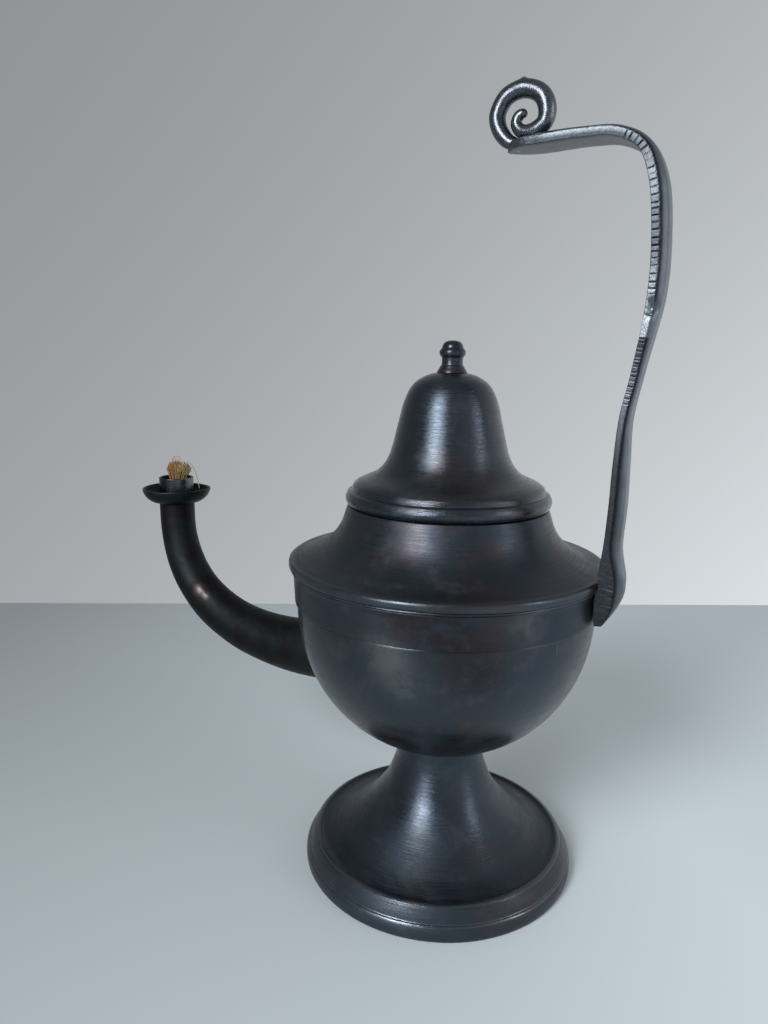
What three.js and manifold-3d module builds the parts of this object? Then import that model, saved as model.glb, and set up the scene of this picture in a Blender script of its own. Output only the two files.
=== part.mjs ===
// Pewter oil lamp with a lift-off lid, a curved spout that ends in a drip pan, and a tall
// strap handle that finishes in a scroll.
// Millimetres, +Z up. The lamp stands on z = 0, the spout points to -X and the handle to +X.
import * as THREE from 'three';
import { mergeVertices } from 'three/addons/utils/BufferGeometryUtils.js';
import Module from 'manifold-3d';

const wasm = await Module();
wasm.setup();

// Clearances between separate pieces
const SEAM = 0.3; // soldered or resting faces
const LID_CLEARANCE = 0.4; // lid ring inside the neck
const WICK_CLEARANCE = 0.4; // wick inside its tube

// Foot
const FOOT_RADIUS = 54;
const FOOT_HEIGHT = 50.5; // to the lowest point of the bowl
const FOOT_RIM_HEIGHT = 6.3;
const FOOT_RING_WIDTH = 3.6; // flat ring that the lamp stands on
const FOOT_BEAD_HEIGHT = 11.7;
const FOOT_BEAD_WIDTH = 3.9;
const FOOT_WALL = 2.6;
const NECK_RADIUS = 17;
const FOOT_WEB = 5; // solid metal between the hollow of the foot and the bowl

// Bowl, an egg-shaped cup
const BOWL_DEPTH = 59.5; // outside, below its top edge
const BOWL_RADIUS = 57.2;
const BOWL_FULLNESS = 2.1; // 2 is an ellipse, more is squarer
const BOWL_WALL = 2.4;
const TONGUE_HEIGHT = 3; // thin rim that locates the shoulder
const TONGUE_WALL = 1;
const BOWL_EDGE = FOOT_HEIGHT + BOWL_DEPTH;

// Shoulder, the upper half of the reservoir
const BAND_STEP = 0.9; // how far the band's lower edge stands out past the bowl
const BAND_TAPER = 0.5; // how much wider the band is at its top
const BAND_HEIGHT = 11.4;
const LIP_OVERHANG = 1.8; // past the top of the band
const LIP_THICKNESS = 6;
const LIP_LAND = 4.4; // width of the lip's level top
const SHOULDER_WALL = 2.2;
const SHOULDER_RISE = 25.6; // top of the band to the mouth
const MOUTH_RADIUS = 38;
const BAND_RADIUS = BOWL_RADIUS + BAND_STEP + BAND_TAPER;
const BAND_TOP = BOWL_EDGE + BAND_HEIGHT;
const LIP_RADIUS = BAND_RADIUS + LIP_OVERHANG;
const MOUTH_TOP = BAND_TOP + SHOULDER_RISE;

// Lid
const LID_OVERHANG = 0.9; // past the mouth
const LID_BEAD_HEIGHT = 4.9;
const LID_STEP_HEIGHT = 9.5; // top of the flat step above the bead
const LID_DOME_RADIUS = 24.2;
const LID_HEIGHT = 49.1;
const LID_WALL = 2;
const LID_RING_DEPTH = 8; // how far the ring reaches into the mouth
const LID_RING_GRIP = 4.2; // how far it reaches up inside the lid
const LID_RING_WALL = 1.8;
const LID_BEAD_RADIUS = MOUTH_RADIUS + LID_OVERHANG;

// Finial
const FINIAL_BASE_RADIUS = 5.7;
const FINIAL_NECK_RADIUS = 3.9;
const FINIAL_KNOB_RADIUS = 4.9;
const FINIAL_HEIGHT = 11.4;
const FINIAL_PEG_RADIUS = 2.6;
const FINIAL_PEG_LENGTH = 5.5;

// Spout
const SPOUT_RUN = 81.7; // side of the bowl to the axis of the tip
const SPOUT_DROP = 33.1; // bowl's edge down to the middle of the root
const SPOUT_RISE = 56.1; // middle of the root up to the tip
const SPOUT_ROOT_RADIUS = 13.2;
const SPOUT_MIDDLE_RADIUS = 9.1;
const SPOUT_TIP_RADIUS = 7.9;
const SPOUT_WALL = 1.4;

// Drip pan and wick tube
const PAN_OVERHANG = 7.6; // past the wick tube
const PAN_RISE = 7; // rim above the spout tip
const PAN_WALL = 1.4;
const TUBE_RADIUS = SPOUT_TIP_RADIUS;
const TUBE_HEIGHT = 12.2; // top edge above the spout tip
const TUBE_WALL = 1.1;
const TUBE_PEG_LENGTH = 4;
const TUBE_PEG_WALL = 0.9;
const PAN_RADIUS = TUBE_RADIUS + PAN_OVERHANG;

// Wick
const CORD_RADIUS = 3.6;
const TUFT_RADIUS = 4.5;
const TUFT_LEAN = 1.5; // how far the puff leans over, towards +X and +Y alike
const TUFT_HEIGHT = 9.2; // above the edge of the wick tube
const STRAND_RADIUS = 0.45;
const STRAND_COUNT = 10;

// Handle
const HANDLE_END_RISE = 0.8; // lower end of the pad above the bowl's edge
const HANDLE_RISE = 159.6; // lower end of the pad to the underside of the arm
const HANDLE_BULGE = 10.1; // band to the inner face where it stands out most
const ARM_TIP = 18.3; // lamp axis to the tip of the arm
const STRAP_WIDTH = 14.6;
const STRAP_EDGE = 2.8; // thickness of the strap along its edges
const STRAP_CROWN = 2.3; // how much the rounded back stands above the edges
const PAD_EDGE = 6.2; // thickness of the pad that is soldered to the band
const SCROLL_RADIUS = 8.3;
const SCROLL_ROD_RADIUS = 2.95;
const HANDLE_END_HEIGHT = BOWL_EDGE + HANDLE_END_RISE;
const ARM_HEIGHT = HANDLE_END_HEIGHT + HANDLE_RISE;
const HANDLE_REACH = BAND_RADIUS + HANDLE_BULGE;

// Facets of the turned pieces
const ROUND = 36;
const BOWL_STEPS = 15;
const SMALL_ROUND = 20;

const pewter = (color, roughness) => new THREE.MeshStandardMaterial({ color, roughness, metalness: 0.9 });
const darkPewter = pewter(0x3a3d42, 0.42);
const spoutPewter = pewter(0x35332f, 0.38);
const handlePewter = pewter(0x6f757c, 0.36);
const wickYarn = new THREE.MeshStandardMaterial({ color: 0xb98a45, roughness: 0.95, metalness: 0 });

const { lerp } = THREE.MathUtils;
const point = (radius, height) => new THREE.Vector2(radius, height);

// Geometry and solids

function toSolid(geometry) {
  geometry.deleteAttribute('normal');
  geometry.deleteAttribute('uv');
  const merged = mergeVertices(geometry, 1e-4);
  const corners = merged.index.array;
  const kept = [];
  for (let i = 0; i < corners.length; i += 3) {
    const [a, b, c] = corners.slice(i, i + 3);
    if (a !== b && b !== c && c !== a) {
      kept.push(a, b, c);
    }
  }
  return new wasm.Manifold(new wasm.Mesh({
    numProp: 3,
    vertProperties: Float32Array.from(merged.attributes.position.array),
    triVerts: Uint32Array.from(kept),
  }));
}

function toGeometry(solid) {
  const mesh = solid.getMesh();
  const geometry = new THREE.BufferGeometry();
  geometry.setAttribute('position', new THREE.BufferAttribute(mesh.vertProperties, 3));
  geometry.setIndex(new THREE.BufferAttribute(mesh.triVerts, 1));
  geometry.computeVertexNormals();
  return geometry;
}

// Turns an outline, listed anticlockwise in (radius, height), round the upright axis.
function turned(outline, segments = ROUND) {
  const geometry = new THREE.LatheGeometry(outline, segments);
  geometry.rotateX(Math.PI / 2);
  return toSolid(geometry);
}

// Skins a row of equal rings of points and closes both ends with a fan.
function lofted(rings) {
  const sides = rings[0].length;
  const positions = rings.flat().flatMap((p) => [p.x, p.y, p.z]);
  const index = [];
  for (let r = 0; r + 1 < rings.length; r += 1) {
    for (let s = 0; s < sides; s += 1) {
      const a = r * sides + s;
      const b = r * sides + (s + 1) % sides;
      index.push(a, b, a + sides, b, b + sides, a + sides);
    }
  }
  for (const [ring, flip] of [[0, true], [rings.length - 1, false]]) {
    const centre = positions.length / 3;
    const middle = new THREE.Vector3();
    rings[ring].forEach((p) => middle.add(p));
    middle.divideScalar(sides);
    positions.push(middle.x, middle.y, middle.z);
    for (let s = 0; s < sides; s += 1) {
      const a = ring * sides + s;
      const b = ring * sides + (s + 1) % sides;
      index.push(...(flip ? [b, a, centre] : [a, b, centre]));
    }
  }
  const geometry = new THREE.BufferGeometry();
  geometry.setAttribute('position', new THREE.Float32BufferAttribute(positions, 3));
  geometry.setIndex(index);
  return toSolid(geometry);
}

// A round rod along a curve, its radius a function of the share of the way along.
function rod(curve, radiusAt, steps, sides) {
  const frames = curve.computeFrenetFrames(steps);
  const rings = [];
  for (let i = 0; i <= steps; i += 1) {
    const centre = curve.getPointAt(i / steps);
    const radius = radiusAt(i / steps);
    const ring = [];
    for (let s = 0; s < sides; s += 1) {
      const angle = (2 * Math.PI * s) / sides;
      ring.push(centre.clone()
        .addScaledVector(frames.normals[i], radius * Math.cos(angle))
        .addScaledVector(frames.binormals[i], radius * Math.sin(angle)));
    }
    rings.push(ring);
  }
  return lofted(rings);
}

// A value that runs smoothly through evenly spaced knots.
function through(...knots) {
  const curve = new THREE.SplineCurve(knots.map((value, i) => point(i, value)));
  return (share) => curve.getPoint(share).y;
}

// Shared outlines

// Height of the bowl's outside at a radius.
function bowlHeight(radius) {
  const across = 1 - (radius / BOWL_RADIUS) ** BOWL_FULLNESS;
  return BOWL_EDGE - BOWL_DEPTH * across ** (1 / BOWL_FULLNESS);
}

// The bowl's wall from the axis to the edge, moved inwards by an inset.
function bowlCurve(inset, steps) {
  const points = [];
  const radius = BOWL_RADIUS - inset;
  const drop = BOWL_DEPTH - inset;
  for (let i = 0; i <= steps; i += 1) {
    const angle = (Math.PI / 2) * (i / steps);
    const across = Math.sin(angle) ** (2 / BOWL_FULLNESS);
    const down = Math.cos(angle) ** (2 / BOWL_FULLNESS);
    points.push(point(i ? radius * across : 0, BOWL_EDGE - (i < steps ? drop * down : 0)));
  }
  return points;
}

// The outside of the shoulder from the bottom of the band to the mouth.
function shoulderCurve() {
  const lipTop = BAND_TOP + LIP_THICKNESS;
  const path = new THREE.Path();
  path.moveTo(BOWL_RADIUS + BAND_STEP, BOWL_EDGE + SEAM);
  path.lineTo(BAND_RADIUS, BAND_TOP);
  path.quadraticCurveTo(LIP_RADIUS, BAND_TOP + 0.4, LIP_RADIUS, lerp(BAND_TOP, lipTop, 0.55));
  path.quadraticCurveTo(LIP_RADIUS - 0.6, lipTop, LIP_RADIUS - LIP_LAND, lipTop);
  path.bezierCurveTo(
    lerp(LIP_RADIUS, MOUTH_RADIUS, 0.6), lipTop + 3,
    MOUTH_RADIUS + 1.6, lerp(BAND_TOP, MOUTH_TOP, 0.66),
    MOUTH_RADIUS, MOUTH_TOP,
  );
  return path.getPoints(4);
}

// Everything inside the outside of the reservoir, grown by a gap.
function reservoirEnvelope(gap) {
  const outside = [...bowlCurve(0, BOWL_STEPS), ...shoulderCurve()];
  const grown = outside.map((p, i) => (i ? point(p.x + gap, p.y) : point(0, p.y - gap)));
  return turned([...grown, point(0, MOUTH_TOP)]);
}

// Foot, a hollow flared casting whose neck carries the bowl

function foot() {
  const flareFoot = point(FOOT_RADIUS - 2 * FOOT_BEAD_WIDTH, FOOT_BEAD_HEIGHT - 0.6);
  const neckTop = bowlHeight(NECK_RADIUS) - SEAM;
  const outside = new THREE.Path();
  outside.moveTo(FOOT_RADIUS - FOOT_RING_WIDTH, 0);
  outside.lineTo(FOOT_RADIUS - 0.5, 0);
  outside.quadraticCurveTo(FOOT_RADIUS + 0.4, FOOT_RIM_HEIGHT / 2, FOOT_RADIUS - 1.7, FOOT_RIM_HEIGHT);
  outside.lineTo(FOOT_RADIUS - 2.1, FOOT_RIM_HEIGHT + 0.6);
  outside.quadraticCurveTo(FOOT_RADIUS - 2.6, FOOT_BEAD_HEIGHT - 0.6, flareFoot.x + 2.2, FOOT_BEAD_HEIGHT);
  outside.lineTo(flareFoot.x, flareFoot.y);
  outside.bezierCurveTo(
    lerp(flareFoot.x, NECK_RADIUS, 0.27), FOOT_BEAD_HEIGHT + 0.3,
    NECK_RADIUS + 0.4, lerp(FOOT_BEAD_HEIGHT, neckTop, 0.5),
    NECK_RADIUS, neckTop - 5,
  );
  outside.lineTo(NECK_RADIUS, neckTop);
  const seat = [0.66, 0.33, 0].map((share) => {
    const radius = NECK_RADIUS * share;
    return point(radius, bowlHeight(radius) - SEAM);
  });
  const inside = new THREE.Path();
  inside.moveTo(0, FOOT_HEIGHT - FOOT_WEB);
  inside.lineTo(NECK_RADIUS - 2 * FOOT_WALL, FOOT_HEIGHT - FOOT_WEB - 3);
  inside.bezierCurveTo(
    NECK_RADIUS - FOOT_WALL, lerp(FOOT_BEAD_HEIGHT, neckTop, 0.42),
    lerp(flareFoot.x, NECK_RADIUS, 0.3), FOOT_BEAD_HEIGHT - FOOT_WALL,
    flareFoot.x, FOOT_BEAD_HEIGHT - FOOT_WALL - 0.6,
  );
  inside.lineTo(FOOT_RADIUS - FOOT_RING_WIDTH, FOOT_RIM_HEIGHT - 0.8);
  inside.lineTo(FOOT_RADIUS - FOOT_RING_WIDTH, 0);
  return turned([...outside.getPoints(4), ...seat, ...inside.getPoints(4)]);
}

// Bowl, with a thin tongue that locates the shoulder and a hole into the spout

const TONGUE_OUTSIDE = BOWL_RADIUS - BOWL_WALL + TONGUE_WALL;

function bowl() {
  const outside = bowlCurve(0, BOWL_STEPS);
  const inside = bowlCurve(BOWL_WALL, 10).reverse();
  const rim = [
    point(TONGUE_OUTSIDE, BOWL_EDGE),
    point(TONGUE_OUTSIDE, BOWL_EDGE + TONGUE_HEIGHT),
    point(TONGUE_OUTSIDE - TONGUE_WALL, BOWL_EDGE + TONGUE_HEIGHT),
  ];
  return turned([...outside, ...rim, ...inside]).subtract(spoutBore());
}

// Shoulder, with its overhanging lip and the mouth for the lid

function shoulder() {
  const outside = shoulderCurve();
  const bandInside = TONGUE_OUTSIDE + SEAM;
  const mouthInside = MOUTH_RADIUS - SHOULDER_WALL;
  const inside = new THREE.Path();
  inside.moveTo(mouthInside, MOUTH_TOP);
  inside.lineTo(mouthInside, MOUTH_TOP - LID_RING_DEPTH - 1);
  inside.bezierCurveTo(
    mouthInside + 2, lerp(BAND_TOP, MOUTH_TOP, 0.38),
    lerp(LIP_RADIUS, MOUTH_RADIUS, 0.6), BAND_TOP + LIP_THICKNESS - SHOULDER_WALL + 1.4,
    bandInside - 2, BAND_TOP + LIP_THICKNESS - SHOULDER_WALL,
  );
  inside.lineTo(bandInside, BAND_TOP + 1);
  inside.lineTo(bandInside, BOWL_EDGE + SEAM);
  return turned([...outside, ...inside.getPoints(4), outside[0]]);
}

// Lid: bead, step and a bell-shaped dome, hollow and open below, on its own axis

const LID_RING_RADIUS = MOUTH_RADIUS - SHOULDER_WALL - LID_CLEARANCE;

function lid() {
  const socket = LID_RING_RADIUS + SEAM;
  const ledge = LID_RING_GRIP + SEAM;
  const stepRadius = LID_BEAD_RADIUS - 2.4;
  const outside = new THREE.Path();
  outside.moveTo(socket, 0);
  outside.lineTo(MOUTH_RADIUS - 0.4, 0);
  outside.quadraticCurveTo(
    LID_BEAD_RADIUS + 1, LID_BEAD_HEIGHT / 2,
    LID_BEAD_RADIUS - 0.9, LID_BEAD_HEIGHT,
  );
  outside.lineTo(stepRadius, LID_BEAD_HEIGHT + 0.6);
  outside.quadraticCurveTo(
    stepRadius, LID_STEP_HEIGHT - 1.2,
    stepRadius - 5, LID_STEP_HEIGHT,
  );
  outside.bezierCurveTo(
    LID_DOME_RADIUS + 1.6, LID_STEP_HEIGHT + 2.2,
    LID_DOME_RADIUS, LID_STEP_HEIGHT + 5,
    LID_DOME_RADIUS - 3.1, 0.48 * LID_HEIGHT,
  );
  outside.bezierCurveTo(
    LID_DOME_RADIUS - 5.6, 0.74 * LID_HEIGHT,
    LID_DOME_RADIUS - 7.4, 0.95 * LID_HEIGHT,
    FINIAL_BASE_RADIUS + 0.2, LID_HEIGHT,
  );
  const pegHole = FINIAL_PEG_RADIUS + SEAM;
  outside.lineTo(pegHole, LID_HEIGHT);
  const inside = new THREE.Path();
  inside.moveTo(pegHole, LID_HEIGHT - LID_WALL);
  inside.bezierCurveTo(
    LID_DOME_RADIUS - 9.6, 0.92 * LID_HEIGHT,
    LID_DOME_RADIUS - 8, 0.72 * LID_HEIGHT,
    LID_DOME_RADIUS - 5.2, 0.48 * LID_HEIGHT,
  );
  inside.bezierCurveTo(
    LID_DOME_RADIUS - 2.2, LID_STEP_HEIGHT + 4.4,
    LID_DOME_RADIUS, LID_STEP_HEIGHT - LID_WALL + 1.2,
    stepRadius - 5, LID_STEP_HEIGHT - LID_WALL,
  );
  inside.lineTo(stepRadius - LID_WALL, LID_STEP_HEIGHT - LID_WALL - 1.4);
  inside.lineTo(stepRadius - LID_WALL, ledge);
  inside.lineTo(socket, ledge);
  inside.lineTo(socket, 0);
  return turned([...outside.getPoints(4), ...inside.getPoints(4)]);
}

// The ring under the lid drops into the mouth and keeps the lid centred.
function lidRing() {
  const inner = LID_RING_RADIUS - LID_RING_WALL;
  const bottom = -SEAM - LID_RING_DEPTH;
  const chamfer = 0.6;
  return turned([
    point(inner, bottom),
    point(LID_RING_RADIUS - chamfer, bottom),
    point(LID_RING_RADIUS, bottom + chamfer),
    point(LID_RING_RADIUS, LID_RING_GRIP),
    point(inner, LID_RING_GRIP),
    point(inner, bottom),
  ]);
}

// Finial: a flared base, a neck and a ringed knob, with a peg through the top of the lid

function finial() {
  const base = LID_HEIGHT + SEAM;
  const outside = new THREE.Path();
  outside.moveTo(0, base - FINIAL_PEG_LENGTH);
  outside.lineTo(FINIAL_PEG_RADIUS, base - FINIAL_PEG_LENGTH);
  outside.lineTo(FINIAL_PEG_RADIUS, base);
  outside.lineTo(FINIAL_BASE_RADIUS, base);
  outside.quadraticCurveTo(
    FINIAL_NECK_RADIUS, base + 0.2 * FINIAL_HEIGHT,
    FINIAL_NECK_RADIUS, base + 0.42 * FINIAL_HEIGHT,
  );
  outside.lineTo(FINIAL_KNOB_RADIUS, base + 0.56 * FINIAL_HEIGHT);
  outside.lineTo(FINIAL_KNOB_RADIUS, base + 0.68 * FINIAL_HEIGHT);
  outside.lineTo(FINIAL_NECK_RADIUS + 0.2, base + 0.75 * FINIAL_HEIGHT);
  outside.quadraticCurveTo(FINIAL_NECK_RADIUS, base + FINIAL_HEIGHT, 0, base + FINIAL_HEIGHT);
  return turned(outside.getPoints(4), SMALL_ROUND);
}

// Spout, a tapering curved tube soldered to the side of the bowl

const SPOUT_ROOT = new THREE.Vector3(-BOWL_RADIUS, 0, BOWL_EDGE - SPOUT_DROP);
const SPOUT_TIP = SPOUT_ROOT.clone().add(new THREE.Vector3(-SPOUT_RUN, 0, SPOUT_RISE));

function spoutCurve() {
  const curve = new THREE.CurvePath();
  const inside = new THREE.Vector3(SPOUT_ROOT.x + 0.4 * BOWL_RADIUS, 0, SPOUT_ROOT.z + 1.6);
  const socketFoot = new THREE.Vector3(SPOUT_TIP.x, 0, SPOUT_TIP.z - TUBE_PEG_LENGTH - 1);
  curve.add(new THREE.LineCurve3(inside, SPOUT_ROOT));
  curve.add(new THREE.CubicBezierCurve3(
    SPOUT_ROOT,
    new THREE.Vector3(SPOUT_ROOT.x - 0.573 * SPOUT_RUN, 0, SPOUT_ROOT.z - 0.1 * SPOUT_RISE),
    new THREE.Vector3(SPOUT_TIP.x, 0, SPOUT_TIP.z - 0.795 * SPOUT_RISE),
    socketFoot,
  ));
  curve.add(new THREE.LineCurve3(socketFoot, SPOUT_TIP));
  return curve;
}

// Rings square to the spout's curve, its outer radius less an inset. The last lies level, so
// that the drip pan sits on it.
function spoutRings(inset, steps, sides) {
  const curve = spoutCurve();
  const radiusAt = through(
    SPOUT_ROOT_RADIUS + 0.6,
    SPOUT_ROOT_RADIUS - 1.3,
    SPOUT_MIDDLE_RADIUS + 0.8,
    SPOUT_MIDDLE_RADIUS - 0.5,
    SPOUT_TIP_RADIUS + 0.1,
    SPOUT_TIP_RADIUS,
  );
  const rings = [];
  for (let i = 0; i <= steps; i += 1) {
    const centre = curve.getPointAt(i / steps);
    const along = i < steps ? curve.getTangentAt(i / steps) : new THREE.Vector3(0, 0, 1);
    const radius = radiusAt(i / steps) - inset;
    const ring = [];
    for (let s = 0; s < sides; s += 1) {
      const angle = (2 * Math.PI * s) / sides;
      ring.push(new THREE.Vector3(
        centre.x + along.z * radius * Math.cos(angle),
        radius * Math.sin(angle),
        centre.z - along.x * radius * Math.cos(angle),
      ));
    }
    rings.push(ring);
  }
  return rings;
}

// The way through the spout, run on past its tip.
function spoutBore() {
  const rings = spoutRings(SPOUT_WALL, 18, 16);
  const last = rings[rings.length - 1];
  rings.push(last.map((p) => p.clone().add(new THREE.Vector3(0, 0, 2))));
  return lofted(rings);
}

function spout() {
  return lofted(spoutRings(0, 20, 18)).subtract(spoutBore()).subtract(reservoirEnvelope(SEAM));
}

// Drip pan and wick tube, turned about the spout's tip

// The dish lies on the end of the spout, held down by the shoulder of the wick tube.
function dripPan() {
  const hole = SPOUT_TIP_RADIUS - SPOUT_WALL;
  const floor = SEAM;
  const underside = new THREE.Path();
  underside.moveTo(hole, floor);
  underside.lineTo(TUBE_RADIUS + 0.6, floor);
  underside.bezierCurveTo(
    lerp(TUBE_RADIUS, PAN_RADIUS, 0.6), floor + 0.2,
    PAN_RADIUS - 0.8, lerp(floor, PAN_RISE, 0.45),
    PAN_RADIUS, PAN_RISE,
  );
  const dish = new THREE.Path();
  dish.moveTo(PAN_RADIUS - PAN_WALL, PAN_RISE);
  dish.bezierCurveTo(
    PAN_RADIUS - PAN_WALL - 0.8, lerp(floor, PAN_RISE, 0.55),
    lerp(TUBE_RADIUS, PAN_RADIUS, 0.5), floor + PAN_WALL + 0.2,
    TUBE_RADIUS + 0.6, floor + PAN_WALL,
  );
  dish.lineTo(hole, floor + PAN_WALL);
  dish.lineTo(hole, floor);
  return turned([...underside.getPoints(4), ...dish.getPoints(4)], SMALL_ROUND + 8);
}

// A short tube whose thinner lower end plugs into the spout through the pan.
function wickTube() {
  const pegOutside = SPOUT_TIP_RADIUS - SPOUT_WALL - SEAM;
  const pegInside = pegOutside - TUBE_PEG_WALL;
  const shoulderHeight = 2 * SEAM + PAN_WALL;
  return turned([
    point(pegInside, -TUBE_PEG_LENGTH),
    point(pegOutside, -TUBE_PEG_LENGTH),
    point(pegOutside, shoulderHeight),
    point(TUBE_RADIUS, shoulderHeight),
    point(TUBE_RADIUS, TUBE_HEIGHT - 0.4),
    point(TUBE_RADIUS - 0.4, TUBE_HEIGHT),
    point(TUBE_RADIUS - TUBE_WALL, TUBE_HEIGHT),
    point(TUBE_RADIUS - TUBE_WALL, shoulderHeight + 1.5),
    point(pegInside, shoulderHeight + 1.5),
    point(pegInside, -TUBE_PEG_LENGTH),
  ], SMALL_ROUND);
}

const WICK_RADIUS = SPOUT_TIP_RADIUS - SPOUT_WALL - SEAM - TUBE_PEG_WALL - WICK_CLEARANCE;
const WICK_JOINT_HEIGHT = 1; // above the spout tip, where the burning end starts

// Wick: a cord that lies in the reservoir and the spout, and a burning end in the wick tube

function wickCord() {
  const floorAt = (radius) => bowlHeight(radius * BOWL_RADIUS / (BOWL_RADIUS - BOWL_WALL)) + BOWL_WALL;
  const lying = [0.1, 0.38].map((share) => {
    const across = share * BOWL_RADIUS;
    return new THREE.Vector3(-across, 0, floorAt(across) + (1.3 + share) * CORD_RADIUS);
  });
  const curve = spoutCurve();
  const sag = [0.05, 0.17, 0.34].map((share) => {
    const centre = curve.getPointAt(share);
    return centre.add(new THREE.Vector3(0, 0, (share - 0.42) * 14));
  });
  const centred = [0.52, 0.64, 0.76, 0.88, 0.97].map((share) => curve.getPointAt(share));
  const end = SPOUT_TIP.clone().add(new THREE.Vector3(0, 0, WICK_JOINT_HEIGHT - SEAM));
  const route = new THREE.CatmullRomCurve3([...lying, ...sag, ...centred, end], false, 'centripetal');
  return rod(route, () => CORD_RADIUS, 26, 8);
}

// Rings of the burning end: straight in the tube, then a puff that leans to one side.
function tuftCore() {
  const sides = 14;
  const levels = [
    [WICK_JOINT_HEIGHT, 1],
    [TUBE_HEIGHT - 0.6, 1],
    [TUBE_HEIGHT + 0.22 * TUFT_HEIGHT, 1.12],
    [TUBE_HEIGHT + 0.46 * TUFT_HEIGHT, 1.08],
    [TUBE_HEIGHT + 0.68 * TUFT_HEIGHT, 0.82],
    [TUBE_HEIGHT + 0.82 * TUFT_HEIGHT, 0.45],
  ];
  return lofted(levels.map(([height, share], level) => {
    const lean = level < 2 ? 0 : TUFT_LEAN;
    const ring = [];
    for (let s = 0; s < sides; s += 1) {
      const angle = (2 * Math.PI * s) / sides;
      const lump = level < 2 ? 1 : 1 + 0.09 * Math.sin(3 * angle + 2 * level);
      const radius = share * lump * (level < 2 ? WICK_RADIUS : TUFT_RADIUS);
      ring.push(new THREE.Vector3(
        lean + radius * Math.cos(angle),
        lean + radius * Math.sin(angle),
        height,
      ));
    }
    return ring;
  }));
}

// One loose strand that leaves the puff, arches over and curls back.
function tuftStrand(index) {
  const angle = index * 2.4;
  const reach = TUFT_RADIUS * (0.95 + 0.18 * Math.sin(index * 1.7));
  const top = TUBE_HEIGHT + TUFT_HEIGHT * (0.82 + 0.14 * Math.cos(index * 2.9));
  const at = (share, height) => new THREE.Vector3(
    TUFT_LEAN + reach * share * Math.cos(angle + share),
    TUFT_LEAN + reach * share * Math.sin(angle + share),
    height,
  );
  const route = new THREE.CatmullRomCurve3([
    at(0.25, top - 0.45 * TUFT_HEIGHT),
    at(0.55, top),
    at(0.95, top - 0.1 * TUFT_HEIGHT),
    at(1.12, top - 0.35 * TUFT_HEIGHT),
    at(0.9, TUBE_HEIGHT + 0.28 * TUFT_HEIGHT),
  ]);
  return rod(route, () => STRAND_RADIUS, 8, 5);
}

// The longest strand hangs over the edge of the tube into the pan.
function hangingStrand() {
  const diagonal = Math.SQRT1_2;
  const out = (radius, height) => new THREE.Vector3(radius * diagonal, radius * diagonal, height);
  const route = new THREE.CatmullRomCurve3([
    out(3, TUBE_HEIGHT + 0.7 * TUFT_HEIGHT),
    out(TUBE_RADIUS - 1, TUBE_HEIGHT + 0.72 * TUFT_HEIGHT),
    out(TUBE_RADIUS + 1.4, TUBE_HEIGHT + 0.2 * TUFT_HEIGHT),
    out(TUBE_RADIUS + 2.2, TUBE_HEIGHT - 0.3 * TUFT_HEIGHT),
  ]);
  return rod(route, () => STRAND_RADIUS, 10, 5);
}

function wickTuft() {
  let tuft = tuftCore().add(hangingStrand());
  for (let i = 0; i < STRAND_COUNT; i += 1) {
    tuft = tuft.add(tuftStrand(i));
  }
  return tuft;
}

// Handle: a strap with a flat inner face and a rounded back, and the scroll drawn out of its tip

const PAD_REACH = BAND_RADIUS + SEAM;

// Stations along the inner face from the tip to the pad. Places are shares of the arm or of
// the rise, and wide, edge and crown are shares of the strap's full section.
function handleStations() {
  const arm = (share, sag, wide, edge, crown) => ({
    x: lerp(ARM_TIP, HANDLE_REACH, share), z: ARM_HEIGHT - sag, wide, edge, crown,
  });
  const upright = (share, bulge, wide, edge, crown) => ({
    x: lerp(PAD_REACH, HANDLE_REACH, bulge), z: HANDLE_END_HEIGHT + HANDLE_RISE * share, wide, edge, crown,
  });
  const pad = PAD_EDGE / STRAP_EDGE;
  return [
    arm(0, 0.6, 0.12, 0.8, 0.1),
    arm(0.07, 0.3, 0.68, 1, 0.35),
    arm(0.23, 0.2, 0.96, 1, 0.6),
    arm(0.53, -0.2, 0.92, 1, 0.55),
    arm(0.73, 0.6, 0.93, 1, 0.5),
    upright(0.97, 0.35, 0.97, 1, 0.6),
    upright(0.91, 0.76, 1, 1, 0.85),
    upright(0.8, 0.97, 1, 0.96, 0.85),
    upright(0.7, 0.98, 0.96, 0.9, 0.8),
    upright(0.56, 0.68, 0.77, 0.76, 0.45),
    upright(0.455, 0.38, 0.76, 0.75, 0.5),
    upright(0.36, 0.28, 0.82, 0.75, 0.95),
    upright(0.26, 0.25, 0.83, 0.75, 1.2),
    upright(0.175, 0.17, 0.83, 0.88, 1.2),
    upright(0.115, 0.07, 0.83, 0.88 * pad, 1.1),
    upright(0.065, 0, 0.83, pad, 0.85),
    upright(0.022, 0, 0.78, 0.76 * pad, 0.3),
    upright(0, 0.03, 0.7, 0.42 * pad, 0.1),
  ];
}

// The strap's section, in its width and its thickness.
function strapSection(half, edge, crown) {
  const bevel = Math.min(0.5, 0.3 * half);
  const right = [
    [half - bevel, 0],
    [half, bevel],
    [half, edge - bevel],
    [0.88 * half, edge + 0.2 * crown],
    [0.5 * half, edge + 0.75 * crown],
  ];
  const left = right.map(([across, out]) => [-across, out]).reverse();
  return [...right, [0, edge + crown], ...left];
}

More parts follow.
